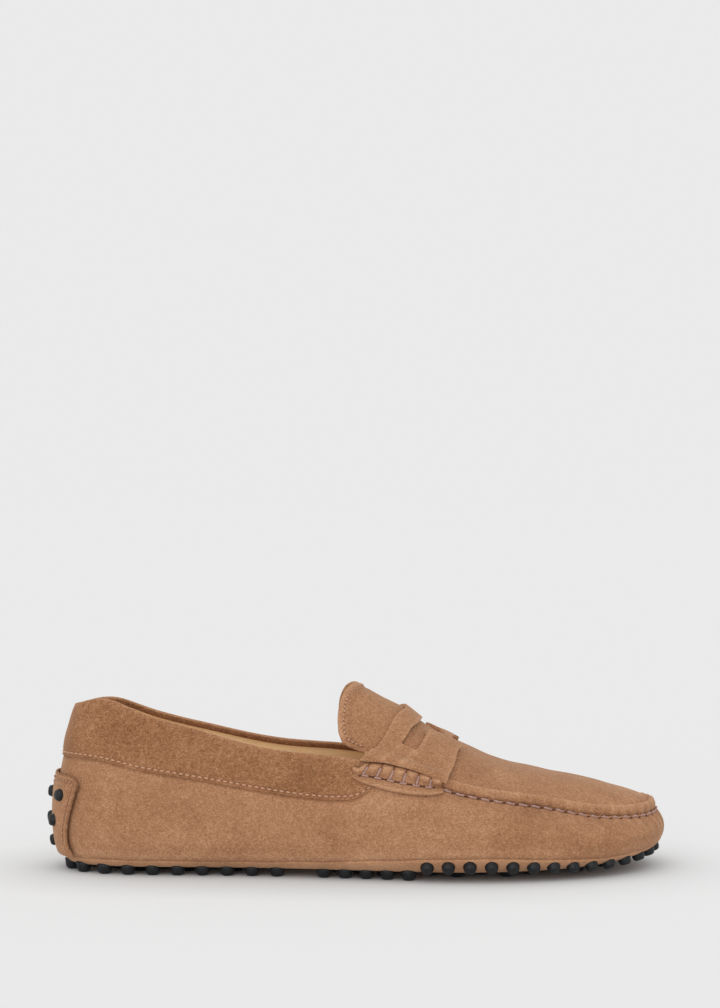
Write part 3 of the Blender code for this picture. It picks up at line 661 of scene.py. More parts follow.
def thread(name, dull, bright):
    """Waxed thread: two tones by fine noise, and a fuzz of sheen."""
    paint = Paint(name, Sheen_Weight=0.25, Sheen_Roughness=0.4)
    fuzz = paint.noise(2600, 2.0, 0.6) - 0.5
    base = paint.mix(paint.clamp(0.55 + fuzz * 1.5), dull, bright)
    paint.feed(Base_Color=base, Roughness=0.62 + fuzz * 0.2, Normal=paint.bump(fuzz, 0.0001, 0.5))
    return paint.material


def dark(name, tone, lighter):
    """Painted shade inside a stitch hole: dull and dark, a little uneven."""
    paint = Paint(name)
    uneven = paint.noise(1200) - 0.5
    paint.feed(Base_Color=paint.mix(paint.clamp(0.5 + uneven), tone, lighter), Roughness=0.95 + uneven * 0.1)
    return paint.material


LINING = lining("lining", colour(236, 198, 148), colour(255, 228, 184))
SOCK = lining("sock", colour(200, 158, 112), colour(232, 195, 148))
RUBBER = rubber()
MAUVE_THREAD = thread("thread_mauve", colour(122, 84, 76), colour(192, 156, 144))
PINK_THREAD = thread("thread_pink", colour(172, 126, 96), colour(206, 161, 130))
TAN_THREAD = thread("thread_tan", colour(146, 102, 74), colour(186, 140, 108))
# Stitch holes: dark colours that paint the shade inside the holes.
HOLE_SHADE = dark("stitch_hole", colour(74, 40, 30), colour(96, 58, 42))
SMALL_HOLE_SHADE = dark("stitch_hole_small", colour(120, 80, 54), colour(140, 96, 68))
print(len(bpy.data.materials), "materials")


# %% [markdown]
# ## The upper
# One piece of suede, lined, goes right round the foot. Its skin is a loop of rows: up the outside, over the
# rim, down the inside and back under. Relief is added along the normal: the step of the quarter band with a
# stitched groove above it, the pull of the apron's seam, which gathers the leather at the toe, and soft
# dents and ridges listed one by one. A subdivided cage could give the form, but rows that follow the band's
# edge keep that edge crisp at any angle.

# %% Relief of the upper
RIM_RISE = 0.0009
BAND_STITCH = 0.0017
BAND_EDGE = 0.00028
SEAM_PITCH = 0.0058

# Dents and ridges: along as a share of UPPER_LENGTH, height in metres, side (1 outer, -1 inner), half
# length, half width, depth (a ridge has a negative depth) in metres, slant in degrees
DENTS = (
    (0.045, 0.066, 1, 0.016, 0.006, 0.0007, -8),
    (0.110, 0.069, 1, 0.018, 0.005, -0.0004, -14),
    (0.200, 0.052, 1, 0.026, 0.007, 0.0005, -10),
    (0.430, 0.040, 1, 0.018, 0.008, 0.0010, 30),
    (0.470, 0.030, 1, 0.016, 0.006, -0.0005, 34),
    (0.560, 0.026, 1, 0.020, 0.006, 0.0006, 20),
    (0.660, 0.022, 1, 0.018, 0.005, -0.0004, 24),
    (0.800, 0.018, 1, 0.022, 0.005, 0.0006, 14),
    (0.905, 0.017, 1, 0.014, 0.005, 0.0006, -25),
    (0.300, 0.022, 1, 0.030, 0.009, 0.0004, 6),
    (0.060, 0.064, -1, 0.016, 0.006, 0.0006, -8),
    (0.220, 0.048, -1, 0.024, 0.008, 0.0007, -12),
    (0.450, 0.034, -1, 0.020, 0.008, 0.0011, 28),
    (0.580, 0.025, -1, 0.018, 0.006, 0.0007, 22),
    (0.760, 0.020, -1, 0.020, 0.005, 0.0006, 12),
    (0.900, 0.018, -1, 0.014, 0.005, 0.0006, -22),
)
seam_at = np.linspace(THROAT - 1, STATIONS - THROAT + 1, 900)
seam_run = run_length(seam_point(seam_at, 0 * seam_at, 0 * seam_at))


def waves(point):
    """Low uneven waves of soft leather: products of sines of a few lengths, in metres."""
    x, y, z = 2 * math.pi * np.moveaxis(point, -1, 0)
    broad = np.sin(x / 0.047 + z / 0.061) * np.sin(z / 0.039 - x / 0.083 + y / 0.09)
    small = np.sin(x / 0.021 - z / 0.034 + y / 0.05) * np.sin(z / 0.019 + y / 0.03)
    return 0.00022 * broad + 0.00009 * small


def dents(point):
    """Sum of the listed dents, each a hump along a slanted line seen from its side."""
    total = np.zeros(point.shape[:-1])
    for place, height, side, length, width, depth, slant in DENTS:
        right = point[..., 0] - along(place)
        up = point[..., 2] - height
        turn = math.radians(slant)
        lengthwise = right * math.cos(turn) + up * math.sin(turn)
        crosswise = up * math.cos(turn) - right * math.sin(turn)
        on_side = ease(0.5 - point[..., 1] * side / 0.012)
        total -= depth * hump(lengthwise, length) * hump(crosswise, width) * on_side
    return total


def along_seam(at):
    """1 along the apron's seam and 0 along the open collar, with half a station between them."""
    return ease((at - THROAT) / 0.5) * ease((STATIONS - THROAT - at) / 0.5)


def gathers(at):
    """Size of the small folds along the apron's seam: largest round the toe."""
    return 0.00012 + 0.00042 * hump(at - TOE, 2.1)


def wall_relief(at, share, point):
    """How far the upper's outer skin stands out of the plain wall, and its painted shade and highlights."""
    here = section(at)
    height = here["top"] - here["feather"]
    from_top = (1 - share) * height
    over = share * height - open_curve(BAND_SEAM, share_along(here["x"]))[..., 0] * height
    fade = band_fade(at)
    sewn = along_seam(at)
    room = np.maximum(from_top + over - BAND_STITCH, 1e-4)
    full = np.sin(math.pi * np.clip((over - BAND_STITCH) / room, 0, 1)) ** 0.8
    relief = fade * BAND_STEP * ease(0.5 + over / BAND_EDGE / 2)
    relief += fade * (0.0009 * full - 0.00030 * hump(over - BAND_STITCH, 0.0007))
    folds = gathers(at) * np.cos(2 * math.pi * np.interp(at, seam_at, seam_run) / SEAM_PITCH)
    relief += sewn * (folds * np.exp(-from_top / 0.0045) - 0.00045 * hump(from_top, 0.0011))
    relief -= 0.00020 * hump(share * height, 0.0009)
    # Painted shade under the band's edge and in its stitch groove, in the seam's crease and along the foot.
    shade = -0.35 * fade * hump(over + 0.0003, 0.0005) - 0.12 * fade * hump(over - BAND_STITCH, 0.0006)
    shade = shade - 0.55 * sewn * hump(from_top, 0.0007) - 0.05 * hump(share * height, 0.0006)
    # Painted shade: darker towards the front, most of all low on the front.
    low_front_shade = ease((share_along(here["x"]) - 0.60) / 0.20) * (1 - share)
    shade = shade - 0.16 * low_front_shade - 0.08 * ease((share_along(here["x"]) - 0.55) / 0.15)
    # Painted light and shade on the seam's gathers; painted highlights on a band above the foot and on the
    # open collar's rim.
    shade = shade + sewn * folds * 420 * np.exp(-from_top / 0.0035)
    shade = shade + 0.20 * hump(share * height - 0.0030, 0.0018) + 0.20 * (1 - sewn) * hump(from_top, 0.0012)
    return relief + waves(point) + dents(point), shade


def upper_face(at, share, lift=0.0):
    """The upper's outer skin: the wall moved along its normal by its relief, and by lift. Also its shade."""
    at, share = np.broadcast_arrays(np.asarray(at, float), np.asarray(share, float))
    point = wall_point(at, share)
    relief, shade = wall_relief(at % STATIONS, share, point)
    normal = normals(wall_point, at, share)
    return point + normal * (relief + lift)[..., None], normal, shade


# %% Upper
AROUND = STATIONS * 28
LOW_ROWS = 34
FACING = 0.0028
FACING_ROWS = (0.0009, 0.0017, 0.0023, FACING)
FACING_STEP = 0.0004


def upper():
    """Rows: the outside from the sole up to the band's edge, over that edge, up to the rim, over the rim by
    a half round, down the suede facing, and down the lining."""
    at = np.arange(AROUND)[None, :] * STATIONS / AROUND
    here = section(at)
    height = here["top"] - here["feather"]
    seam = open_curve(BAND_SEAM, share_along(here["x"]))[..., 0]
    foot = GAP / height
    crest = 1 - RIM_RISE / height
    edge = BAND_EDGE / height
    low = np.linspace(0, 1, LOW_ROWS)[:, None]
    step = np.linspace(-1, 1, 5)[1:-1, None]
    high = np.linspace(0, 1, 30)[:, None]
    under = foot + (seam - edge - foot) * low
    over = seam + edge + (crest - seam - edge) * high
    share = np.concatenate([under, seam + edge * step, over])
    outside, _, shade = upper_face(at + 0 * share, share)
    turn = np.linspace(0, math.pi, 8)[1:-1, None]
    lip = np.concatenate([wall_point(at, crest, WALL * (1 - math.cos(a)) / 2) for a in turn[:, 0]])
    lip[..., 2] += RIM_RISE * np.sin(turn)
    # Painted highlight over the rim where the collar is open.
    rim_highlight = 0.45 * np.sin(turn) * (1 - along_seam(at))
    lip += (outside[-1] - wall_point(at, crest)[0]) * (1 + np.cos(turn))[..., None] / 2
    facing = 1 - np.array(FACING_ROWS)[:, None] / height
    ledge = 1 - (FACING + 0.0003) / height
    inner = ledge - (ledge - foot) * np.linspace(0, 1, 24)[:, None]
    band = wall_point(at + 0 * facing, facing, WALL + FACING_STEP * ease((1 - facing) * height / 0.0015))
    skin = wall_point(at + 0 * inner, inner, WALL)
    grid = np.concatenate([outside, lip, band, skin])
    # Painted shade on the suede facing inside the collar and on the lining just under it.
    inner_shade = np.concatenate([-0.25 + 0 * facing, -0.10 * hump((ledge - inner) * height, 0.002)])
    tones = np.concatenate([shade, rim_highlight, inner_shade])
    rows = len(grid)
    quads = grid_quads(rows, AROUND, wrap_rows=True, wrap_columns=True)
    lined = len(outside) + len(lip) + len(band)
    row_of = np.repeat(np.arange(rows), AROUND)
    column_at = np.tile(at[0] + 0.5 * STATIONS / AROUND, rows)
    on_band = (row_of > LOW_ROWS) & (row_of < lined) & (band_fade(column_at) > 0)
    groups = np.where(row_of >= lined, 1, np.where(on_band, 2, 0))
    return build("upper_suede", grid, quads, [SUEDE, LINING, BAND_SUEDE], groups, tones)


dress(upper(), "upper")

# %% [markdown]
# ## The apron and its tongue
# The apron is sewn on from above with its edge turned up, which makes the roll along the seam. Its rows run
# across the shoe from seam to seam: a rounded bead, a crease, then an arch up to the crown. The same rows,
# pulled back along the surface, end in the tongue's rounded edge. A separate tongue would need a joint that
# the real one doesn't have.

# %% Apron
APRON_ROWS = 190
APRON_COLUMNS = 96
BEAD_OUTSIDE = (
    (0.0, GAP / 2),
    (-BEAD_OVERHANG, BEAD_HEIGHT * 0.30),
    (-BEAD_OVERHANG * 0.6, BEAD_HEIGHT * 0.62),
    (BEAD_WIDTH * 0.14, BEAD_HEIGHT * 0.90),
    (BEAD_WIDTH * 0.42, BEAD_HEIGHT),
    (BEAD_WIDTH * 0.70, BEAD_HEIGHT * 0.96),
    (BEAD_WIDTH * 0.90, CREASE_HEIGHT),
    (BEAD_WIDTH, CREASE_HEIGHT),
)
BEAD_INSIDE = (
    (WALL, GAP / 2),
    (WALL, CREASE_HEIGHT * 0.12),
    (WALL, CREASE_HEIGHT * 0.25),
    (WALL * 1.05, CREASE_HEIGHT * 0.33),
    (WALL * 1.1, CREASE_HEIGHT * 0.40),
    (WALL * 1.3, CREASE_HEIGHT * 0.48),
    (BEAD_WIDTH - WALL * 0.1, CREASE_HEIGHT - APRON_SHEET * 1.1),
    (BEAD_WIDTH + WALL * 0.2, CREASE_HEIGHT - APRON_SHEET * 0.8),
)


def crown_height(x):
    """Height of the apron's middle line at x."""
    return open_curve(CROWN, share_along(x))[..., 0] * TONGUE_HEIGHT


def arch(start, end, share, drop=0.0):
    """Between two edge points: their straight line, raised at the middle to the crown by 1 - |share|^power.
    Near the toe, where the line is short, the rise fades out."""
    points = start * (1 - share[..., None]) / 2 + end * (1 + share[..., None]) / 2
    middle = (start + end) / 2
    width = np.linalg.norm(end - start, axis=-1)
    rise = (crown_height(middle[..., 0]) - drop - middle[..., 2]) * np.minimum(1, width / CROWN_START)
    lift = np.maximum(rise, 0) * (1 - np.abs(share) ** ARCH_POWER)
    return points + lift[..., None] * np.array([0, 0, 1])


def apron_face(x, share, profile=BEAD_OUTSIDE, drop=0.0):
    """A face of the apron at a place along the shoe and a share of its half width."""
    x, share = np.broadcast_arrays(np.asarray(x, float), np.asarray(share, float))
    start = seam_point(station_at(x, 1), *profile[-1])
    end = seam_point(station_at(x, -1), *profile[-1])
    return arch(start, end, share, drop)


def tongue_shift(share):
    """How far back of the throat the tongue's edge lies at a share of the half width."""
    return (open_curve(TONGUE_EDGE, np.abs(share))[..., 0] - TONGUE_EDGE[-1][1]) * UPPER_LENGTH


def apron_grid(profile, drop):
    """Rows from seam to seam, and the tongue: rows near the throat are moved back along the face by the
    tongue's edge times (1 - rows from the throat)^2."""
    at = np.linspace(THROAT, TOE, APRON_ROWS)[:, None]
    bead = smooth_rows(np.array(profile), 3)[None]
    sides = [seam_point(at * side + 0 * bead[..., 0], bead[..., 0], bead[..., 1]) for side in (1, -1)]
    reach = np.linspace(-1, 1, APRON_COLUMNS + 2)[1:-1]
    share = (0.75 * reach + 0.25 * np.sin(reach * math.pi / 2))[None, :]
    middle = arch(sides[0][:, -1:], sides[1][:, -1:], share + 0 * at, drop)
    fade = np.clip(1 - (at - THROAT) / PULL_BACK, 0, 1) ** 2
    x = middle[..., 0]
    moved = x + (tongue_shift(share) + TONGUE_ROUND) * fade
    shift = apron_face(moved, share, profile, drop) - apron_face(x, share, profile, drop)
    return np.concatenate([sides[0], middle + shift, sides[1][:, ::-1]], axis=1), at, share


def apron_relief(at, columns, share, grid):
    """Waves, the seam's pull on the bead, the tongue's stitch groove, and their painted shade and
    highlights.
    """
    bead = (columns - share.shape[1]) // 2
    climb = np.linspace(0, 1, bead)
    level = np.concatenate([climb, np.ones(share.shape[1]), climb[::-1]])[None, :]
    on_bead = 1 - ease((level - 0.85) / 0.15)
    pull = np.cos(2 * math.pi * np.interp(at, seam_at, seam_run) / SEAM_PITCH)
    relief = waves(grid) * (1 - on_bead)
    relief += on_bead * gathers(at) * 0.5 * pull * (1 - 0.6 * level)
    inside = (at - THROAT) * 0.030
    wide = np.concatenate([np.ones(bead), np.abs(share[0]), np.ones(bead)])[None, :]
    stitched = ease((0.99 - wide) / 0.05)
    relief -= 0.00035 * stitched * hump(inside - 0.0024, 0.0006)
    # Painted shade at the bead's foot and in the crease above it, a painted highlight on its crest, painted
    # light and shade on the gathers.
    shade = 0 * relief - 0.45 * hump(level, 0.10) - 0.30 * on_bead * hump(level - 0.93, 0.05)
    shade += 0.22 * on_bead * hump(level - 0.5, 0.2) + on_bead * pull * gathers(at) * 380 * (1 - level)
    # Painted shade in the tongue's stitch groove and a painted highlight along its cut edge.
    shade -= 0.15 * stitched * hump(inside - 0.0024, 0.0008)
    shade += 0.25 * stitched * hump(inside, 0.0009)
    return relief, shade


def apron():
    """The outer face with its relief, and the plain lining face under it."""
    grid, at, share = apron_grid(BEAD_OUTSIDE, 0.0)
    relief, shade = apron_relief(at, grid.shape[1], share, grid)
    outer = grid + grid_normals(grid) * relief[..., None]
    inner = apron_grid(BEAD_INSIDE, APRON_SHEET * 1.1)[0]
    return closed_sheet("apron_suede", outer, inner, [SUEDE, LINING], "trl", 1, shade)


dress(apron(), "apron")

# %% [markdown]
# ## The saddle strap
# The strap lies on the apron and carries the keeper's slot: a back band, a front band and a long opening
# between them that widens in its middle. Its columns are the four edges of the table and steps between
# them, so slot and notches are cut by leaving out quads, and Solidify and Bevel give the cut edge.

# %% Strap
# Share of the apron's half width, then the places of its back edge, the slot's two edges and its front
# edge. The last two rows are its turn over the bead and its end on the roll.
STRAP_EDGES = (
    (0.00, 0.568, 0.594, 0.625, 0.648),
    (0.30, 0.563, 0.589, 0.623, 0.649),
    (0.35, 0.561, 0.588, 0.611, 0.656),
    (0.55, 0.550, 0.578, 0.600, 0.652),
    (0.86, 0.532, 0.559, 0.583, 0.644),
    (0.93, 0.526, 0.552, 0.576, 0.641),
    (1.00, 0.518, 0.544, 0.568, 0.637),
    (1.05, 0.511, 0.538, 0.563, 0.636),
    (1.10, 0.497, 0.530, 0.558, 0.634),
)
STRAP_SHARES = (0.95, 0.86, 0.78, 0.70, 0.60, 0.5, 0.42, 0.36, 0.34, 0.32, 0.30, 0.27, 0.20, 0.10)
SLOT_END = 0.86
STRAP_ROOM = 2 * GAP
STRAP_STEPS = (10, 6, 12)

# Roll at a strap end: place from back to front, along as a share of UPPER_LENGTH, and how far its top stands
# above the seam and its lip hangs below it, as shares of BEAD_HEIGHT
ROLL_EDGES = (
    (0.00, 0.491, -0.50, 1.62),
    (0.08, 0.499, 0.00, 1.78),
    (0.30, 0.530, 0.40, 1.90),
    (0.60, 0.572, 0.68, 1.60),
    (0.92, 0.617, 0.85, 0.75),
    (1.00, 0.627, 0.85, 0.45),
)


def roll_top(at):
    """Height above the seam of the roll's top at a station."""
    table = np.array(ROLL_EDGES)
    return np.interp(share_along(section(at)["x"]), table[:, 1], table[:, 2]) * BEAD_HEIGHT


CREASE_BRIDGE = 0.0008
STRAP_TUCK = 0.0016


def strap_places(share):
    """Places on X across the strap: steps between each pair of its four edges."""
    edges = along(open_curve(STRAP_EDGES, np.abs(share)))
    gaps = np.diff(edges, axis=-1)
    parts = [edges[..., k, None] + gaps[..., k, None] * np.arange(steps) / steps
             for k, steps in enumerate(STRAP_STEPS)]
    return np.concatenate([*parts, edges[..., -1:]], -1)


def strap():
    """Control rows from the outer roll over the apron to the inner one, smoothed, with the slot left out."""
    shares = np.array([-s for s in STRAP_SHARES] + [0.0] + list(STRAP_SHARES[::-1]))
    x = strap_places(shares)
    bridge = CREASE_BRIDGE * ease((np.abs(shares) - 0.80) / 0.15)
    rows = apron_face(x, shares[:, None]) + np.array([0, 0, STRAP_ROOM])
    rows[..., 2] += bridge[:, None]
    outside = -BEAD_OVERHANG - STRAP_ROOM
    ends = []
    over = np.array([row[0] for row in STRAP_EDGES[-3:]])
    for side in (1, -1):
        bead_at, turn_at, edge_at = station_at(strap_places(over), side)
        tuck = STRAP_TUCK * ease((share_along(section(edge_at)["x"]) - 0.598) / 0.02)
        edge = seam_point(edge_at, outside, np.maximum(roll_top(edge_at), 0) + STRAP_ROOM - tuck)
        turn = seam_point(turn_at, outside, BEAD_HEIGHT * 0.9 + STRAP_ROOM)
        bead = seam_point(bead_at, BEAD_TOP, BEAD_HEIGHT * 1.04 + STRAP_ROOM)
        ends.append(np.stack([edge, turn, bead]))
    control = np.concatenate([ends[0], rows, ends[1][::-1]])
    widths = np.concatenate([-over[::-1], shares, over])
    steps = 4
    grid = smooth_rows(control, steps)
    at_share = np.repeat(widths, steps)[: len(grid)]
    quads = grid_quads(*grid.shape[:2])
    row_of, column_of = np.divmod(np.arange(len(quads)), grid.shape[1] - 1)
    in_slot = (column_of >= STRAP_STEPS[0]) & (column_of < STRAP_STEPS[0] + STRAP_STEPS[1])
    start = np.flatnonzero(at_share >= -SLOT_END)[0]
    stop = len(grid) - 1 - start
    in_slot &= (row_of >= start) & (row_of < stop)
    across = np.arange(grid.shape[1])
    last = grid.shape[1] - 1
    near = np.minimum(across, last - across)
    for border in (STRAP_STEPS[0], STRAP_STEPS[0] + STRAP_STEPS[1]):
        near = np.minimum(near, np.abs(across - border))
    # Painted highlight along the strap's cut edges and the slot's edges.
    shade = 0.22 * hump(near, 1.2)[None, :] + np.zeros(grid.shape[:2])
    grid = grid + grid_normals(grid) * (waves(grid) * 0.8)[..., None]
    obj = build("saddle_strap_suede", grid, quads[~in_slot], [SUEDE], shade=shade, merge=1e-6)
    made = bmesh.new()
    made.from_mesh(obj.data)
    loose = [v for v in made.verts if not v.link_faces]
    bmesh.ops.delete(made, geom=loose, context="VERTS")
    if sum(face.normal.z for face in made.faces) < 0:
        bmesh.ops.reverse_faces(made, faces=made.faces)
    made.to_mesh(obj.data)
    made.free()
    solid = obj.modifiers.new("Thickness", "SOLIDIFY")
    solid.thickness = STRAP_SHEET
    solid.offset = 1
    soft = obj.modifiers.new("Cut edge", "BEVEL")
    soft.width = 0.00042
    soft.segments = 3
    soft.limit_method = "ANGLE"
    soft.angle_limit = math.radians(50)
    return obj


dress(strap(), "saddle_strap")

# %% [markdown]
# ## The rolls at the strap's ends
# The strap's ends are drawn down with whipped thread, which gathers them into a row of small cushions above
# a rolled lip. The section of the roll is a table, and the cushions are a power of a sine along it, so that
# they are full between the threads and pinched under them.

# %% Rolls
# Section from the roll's top to its lip: share of its height, share of PUFF_DEPTH, share of ROLL_SHEET
ROLL_SECTION = (
    (0.00, 0.00, 0.80),
    (0.16, 0.95, 1.00),
    (0.34, 1.00, 1.00),
    (0.52, 0.30, 0.80),
    (0.66, 0.00, 0.70),
    (0.80, 0.00, 1.15),
    (0.92, 0.00, 1.25),
    (1.00, 0.00, 0.60),
)
PUFF_POWER = 0.6
PUFF_LEAN = 0.13
PUFF_FADE = 0.03
ROLL_ROWS = 56


def fullness(place, share):
    """|sin(pi puffs p)|^power of the place p past PUFF_START, which leans forward towards the roll's top."""
    lean = PUFF_LEAN * (0.6 - share) * (1.15 - place)
    past = (place - lean - PUFF_START) / (1 - PUFF_START)
    cushions = np.abs(np.sin(math.pi * PUFFS * past)) ** PUFF_POWER
    return np.where(past < 0, 1 - ease(1 + past / PUFF_FADE), cushions)


def roll_face(place, share, side, outside=1.0, lift=0.0):
    """A face of a roll. Along it, place runs from 0 to 1; down it, share does. It stands off the wall or the
    bead by its thickness plus the cushions' fullness."""
    place, share = np.broadcast_arrays(np.asarray(place, float), np.asarray(share, float))
    where, _, below = np.moveaxis(open_curve(ROLL_EDGES, place), -1, 0)
    at = station_at(along(where), side)
    above = roll_top(at)
    here = section(at)
    height = here["top"] - here["feather"]
    swell, thick = np.moveaxis(open_curve(ROLL_SECTION, share), -1, 0)
    rise = above - (above + below * BEAD_HEIGHT) * share
    puff = fullness(place, share) * PUFF_DEPTH * (1 - 0.5 * ease((PUFF_START - place) / PUFF_START))
    stand = GAP + np.maximum(band_fade(at) * BAND_STEP, BEAD_OVERHANG)
    stand = stand + outside * (ROLL_SHEET * thick + puff * swell) + lift
    wall = wall_point(at, 1 + np.minimum(rise, 0) / height)
    base = np.where(rise[..., None] > 0, seam_point(at, 0 * rise, rise), wall)
    way = np.concatenate([outward(at), np.zeros((*at.shape, 1))], -1)
    return base + way * stand[..., None]


def roll(name, side):
    """Both faces of a roll on one grid, with painted shade in the pinches and along the stitched groove."""
    place = np.linspace(0, 1, PUFFS * 28 + 1)[:, None]
    share = np.linspace(0, 1, ROLL_ROWS)[None, :]
    pinch = 1 - fullness(place, share)
    upper_part = ease((0.62 - share) / 0.06)
    # Painted shade in the pinches, along the stitched groove and under the strap's edge; painted highlights
    # on the lip and on the cushions' tops.
    shade = -1.2 * pinch**2 * upper_part - 0.5 * hump(share - 0.60, 0.04) + 0.2 * hump(share - 0.9, 0.08)
    shade = shade + 0.35 * (1 - pinch) * hump(share - 0.16, 0.10) - 0.9 * hump(share, 0.05)
    outer = roll_face(place, share, side)
    inner = roll_face(place, share, side, outside=0.0)
    return closed_sheet(name, outer, inner, [SUEDE], "trbl", 0, shade + 0 * outer[..., 0], swell=0.8)


for name, side in (("strap_roll_outer", 1), ("strap_roll_inner", -1)):
    dress(roll(name + "_suede", side), name)

# %% [markdown]
# ## The sole's leather and the insole
# Both are trays that follow the last: rows across the shoe go from the rim down round the corner, over the
# floor and up the other side. At the heel's back and at the toe the two sides meet and the rows close.

# %% Sole and insole
TRAY_ROWS = 150
TRAY_FLOOR = 40


def tray_grid(depth, rim, corner_rows):
    """Rows across the shoe: a corner, a straight floor and the other corner."""
    at = np.linspace(0, TOE, TRAY_ROWS)[:, None]
    share = np.linspace(0, 1, corner_rows)[None, :]
    left = corner_point(at + 0 * share, share + 0 * at, depth, rim)
    right = corner_point(-at + 0 * share, share + 0 * at, depth, rim)
    across = np.linspace(0, 1, TRAY_FLOOR)[None, 1:-1, None]
    middle = left[:, -1:] * (1 - across) + right[:, -1:] * across
    return np.concatenate([left, middle, right[:, ::-1]], axis=1)


def tray(name, depth, thickness, rim, corner_rows, materials, node):
    """A closed tray between two faces, with painted shade along its rim, put in place of a node's imported
    part.
    """
    outer = tray_grid(depth, rim, corner_rows)
    inner = tray_grid(depth + thickness, rim, corner_rows)
    from_rim = np.minimum(np.arange(outer.shape[1]), np.arange(outer.shape[1])[::-1])
    shade = -0.1 * hump(from_rim, 1.5)[None, :] + np.zeros(outer.shape[:2])
    dress(closed_sheet(name, outer, inner, materials, "rl", 0, shade, steps=3, swell=0.6), node)


tray("sole_suede", 0.0, SOLE_SHEET, 1.0, 12, [SOLE_SUEDE_LIT], "sole")
tray("insole_leather", SOLE_SHEET + GAP, INSOLE_SHEET, 0.55, 8, [SOCK], "insole")

# %% [markdown]
# ## Pebbles
# The rubber comes through holes in the leather as pebbles, in rows that follow the edge and staggered rows
# inside. Each is a turned profile. One whole-array sum sets the profile on every foot at once, which is far
# quicker than an object for each pebble, and all of them are one mesh.

# %% Pebbles
# Rows along the sole's edge: first and last station, distance down from the rim in pebble radii, spacing
# as a share of PEBBLE_PITCH
EDGE_ROWS = (
    (-4.90, 4.95, 2.5, 0.97),
    (5.51, 6.47, 3.0, 0.86),
    (6.69, 15.31, 1.15, 0.78),
    (15.53, 16.45, 3.0, 0.86),
)
EDGE_END = 0.93
FLOOR_FIELDS = ((0.060, 0.360), (0.455, 0.930))
FIELD_INSET = 0.62
ROW_PITCH = 0.94
MARGIN_SHARE = 0.88
# Profile of a pebble: share of its radius, share of its height
PEBBLE_PROFILE = (
    (1.06, -0.35),
    (1.02, 0.05),
    (0.96, 0.40),
    (0.89, 0.66),
    (0.77, 0.85),
    (0.56, 0.96),
    (0.30, 0.995),
    (0.00, 1.00),
)


def turned_studs(name, feet, ways, heights, radius, sides=20):
    """Studs: foot + way * height * profile height + radius * profile radius * (cos first + sin second). A
    disc of triangles closes each foot: its quads repeat the centre, and a repeated corner is dropped."""
    ways = unit(ways)
    helper = np.where(np.abs(ways[:, :1]) < 0.9, [[1.0, 0, 0]], [[0, 1.0, 0]])
    first = unit(np.cross(ways, helper))
    second = np.cross(ways, first)
    turn = 2 * math.pi * np.arange(sides) / sides
    wide, high = np.array(PEBBLE_PROFILE).T
    ring = first[:, None, None] * np.cos(turn)[:, None] + second[:, None, None] * np.sin(turn)[:, None]
    rise = ways[:, None, None] * (heights[:, None, None, None] * high[None, :, None, None])
    points = feet[:, None, None] + rise + ring * (radius[:, None, None, None] * wide[None, :, None, None])
    count, size, spin = len(feet), len(wide) * sides, np.arange(sides)
    offset = (size * np.arange(count))[:, None]
    middle = (count * size + np.arange(count))[:, None] + 0 * spin[None, :]
    caps = np.stack([offset + spin, middle, middle, offset + (spin + 1) % sides], -1).reshape(-1, 4)
    faces = np.concatenate([repeat_quads(len(wide), sides, count), caps]).tolist()
    everything = np.concatenate([points.reshape(-1, 3), points[:, 0].mean(axis=1)])
    mesh = bpy.data.meshes.new(name)
    mesh.from_pydata(everything.tolist(), [], [list(dict.fromkeys(face)) for face in faces])
    clean(mesh, 1e-6, 0)
    mesh.materials.append(RUBBER)
    print(name, len(mesh.polygons), "faces")
    return show(name, mesh)


def spaced(start, stop, pitch):
    """Station numbers at which points of the sole's edge stand a pitch apart."""
    fine = np.linspace(start, stop, 400)
    run = run_length(corner_point(fine, EDGE_END))
    count = max(2, round(run[-1] / pitch) + 1)
    return np.interp(np.linspace(0, run[-1], count), run, fine)


def edge_feet():
    """Feet and directions of the pebbles along the edge: those low enough to reach the floor point down."""
    feet = []
    ways = []
    for first, last, down, pitch in EDGE_ROWS:
        at = spaced(first, last, PEBBLE_PITCH * pitch)
        shares = np.linspace(0, 1, 30)
        runs = [run_length(corner_point(t + 0 * shares, shares)) for t in at]
        share = np.array([min(np.interp(down * PEBBLE_RADIUS, run, shares), EDGE_END) for run in runs])
        feet.append(corner_point(at, share))
        ways.append(normals(corner_point, at, share))
    return np.concatenate(feet), np.concatenate(ways)


def field_feet():
    """Feet of the staggered rows across the floor of the sole."""
    at = np.linspace(0.02, TOE - 0.02, 300)
    sides = [corner_point(at * side, 1.0 + 0 * at) for side in (1, -1)]
    feet = []
    pitch = PEBBLE_PITCH * ROW_PITCH
    for start, stop in FLOOR_FIELDS:
        for row in range(int((stop - start) * UPPER_LENGTH / pitch) + 1):
            x = along(start) + row * pitch
            ends = [[np.interp(x, s[:, 0], s[:, k]) for k in (1, 2)] for s in sides]
            (outer, outer_z), (inner, inner_z) = ends
            room = (inner - outer) / 2 - FIELD_INSET * PEBBLE_PITCH
            stagger = 0.5 if row % 2 else 0.0
            most = int(room / PEBBLE_PITCH - stagger)
            if room > 0:
                y = (outer + inner) / 2 + (np.arange(-most - 2 * stagger, most + 1) + stagger) * PEBBLE_PITCH
                z = outer_z + (inner_z - outer_z) * (y - outer) / (inner - outer)
                feet.append(np.stack([x + 0 * y, y, z], -1))
    return np.concatenate(feet)


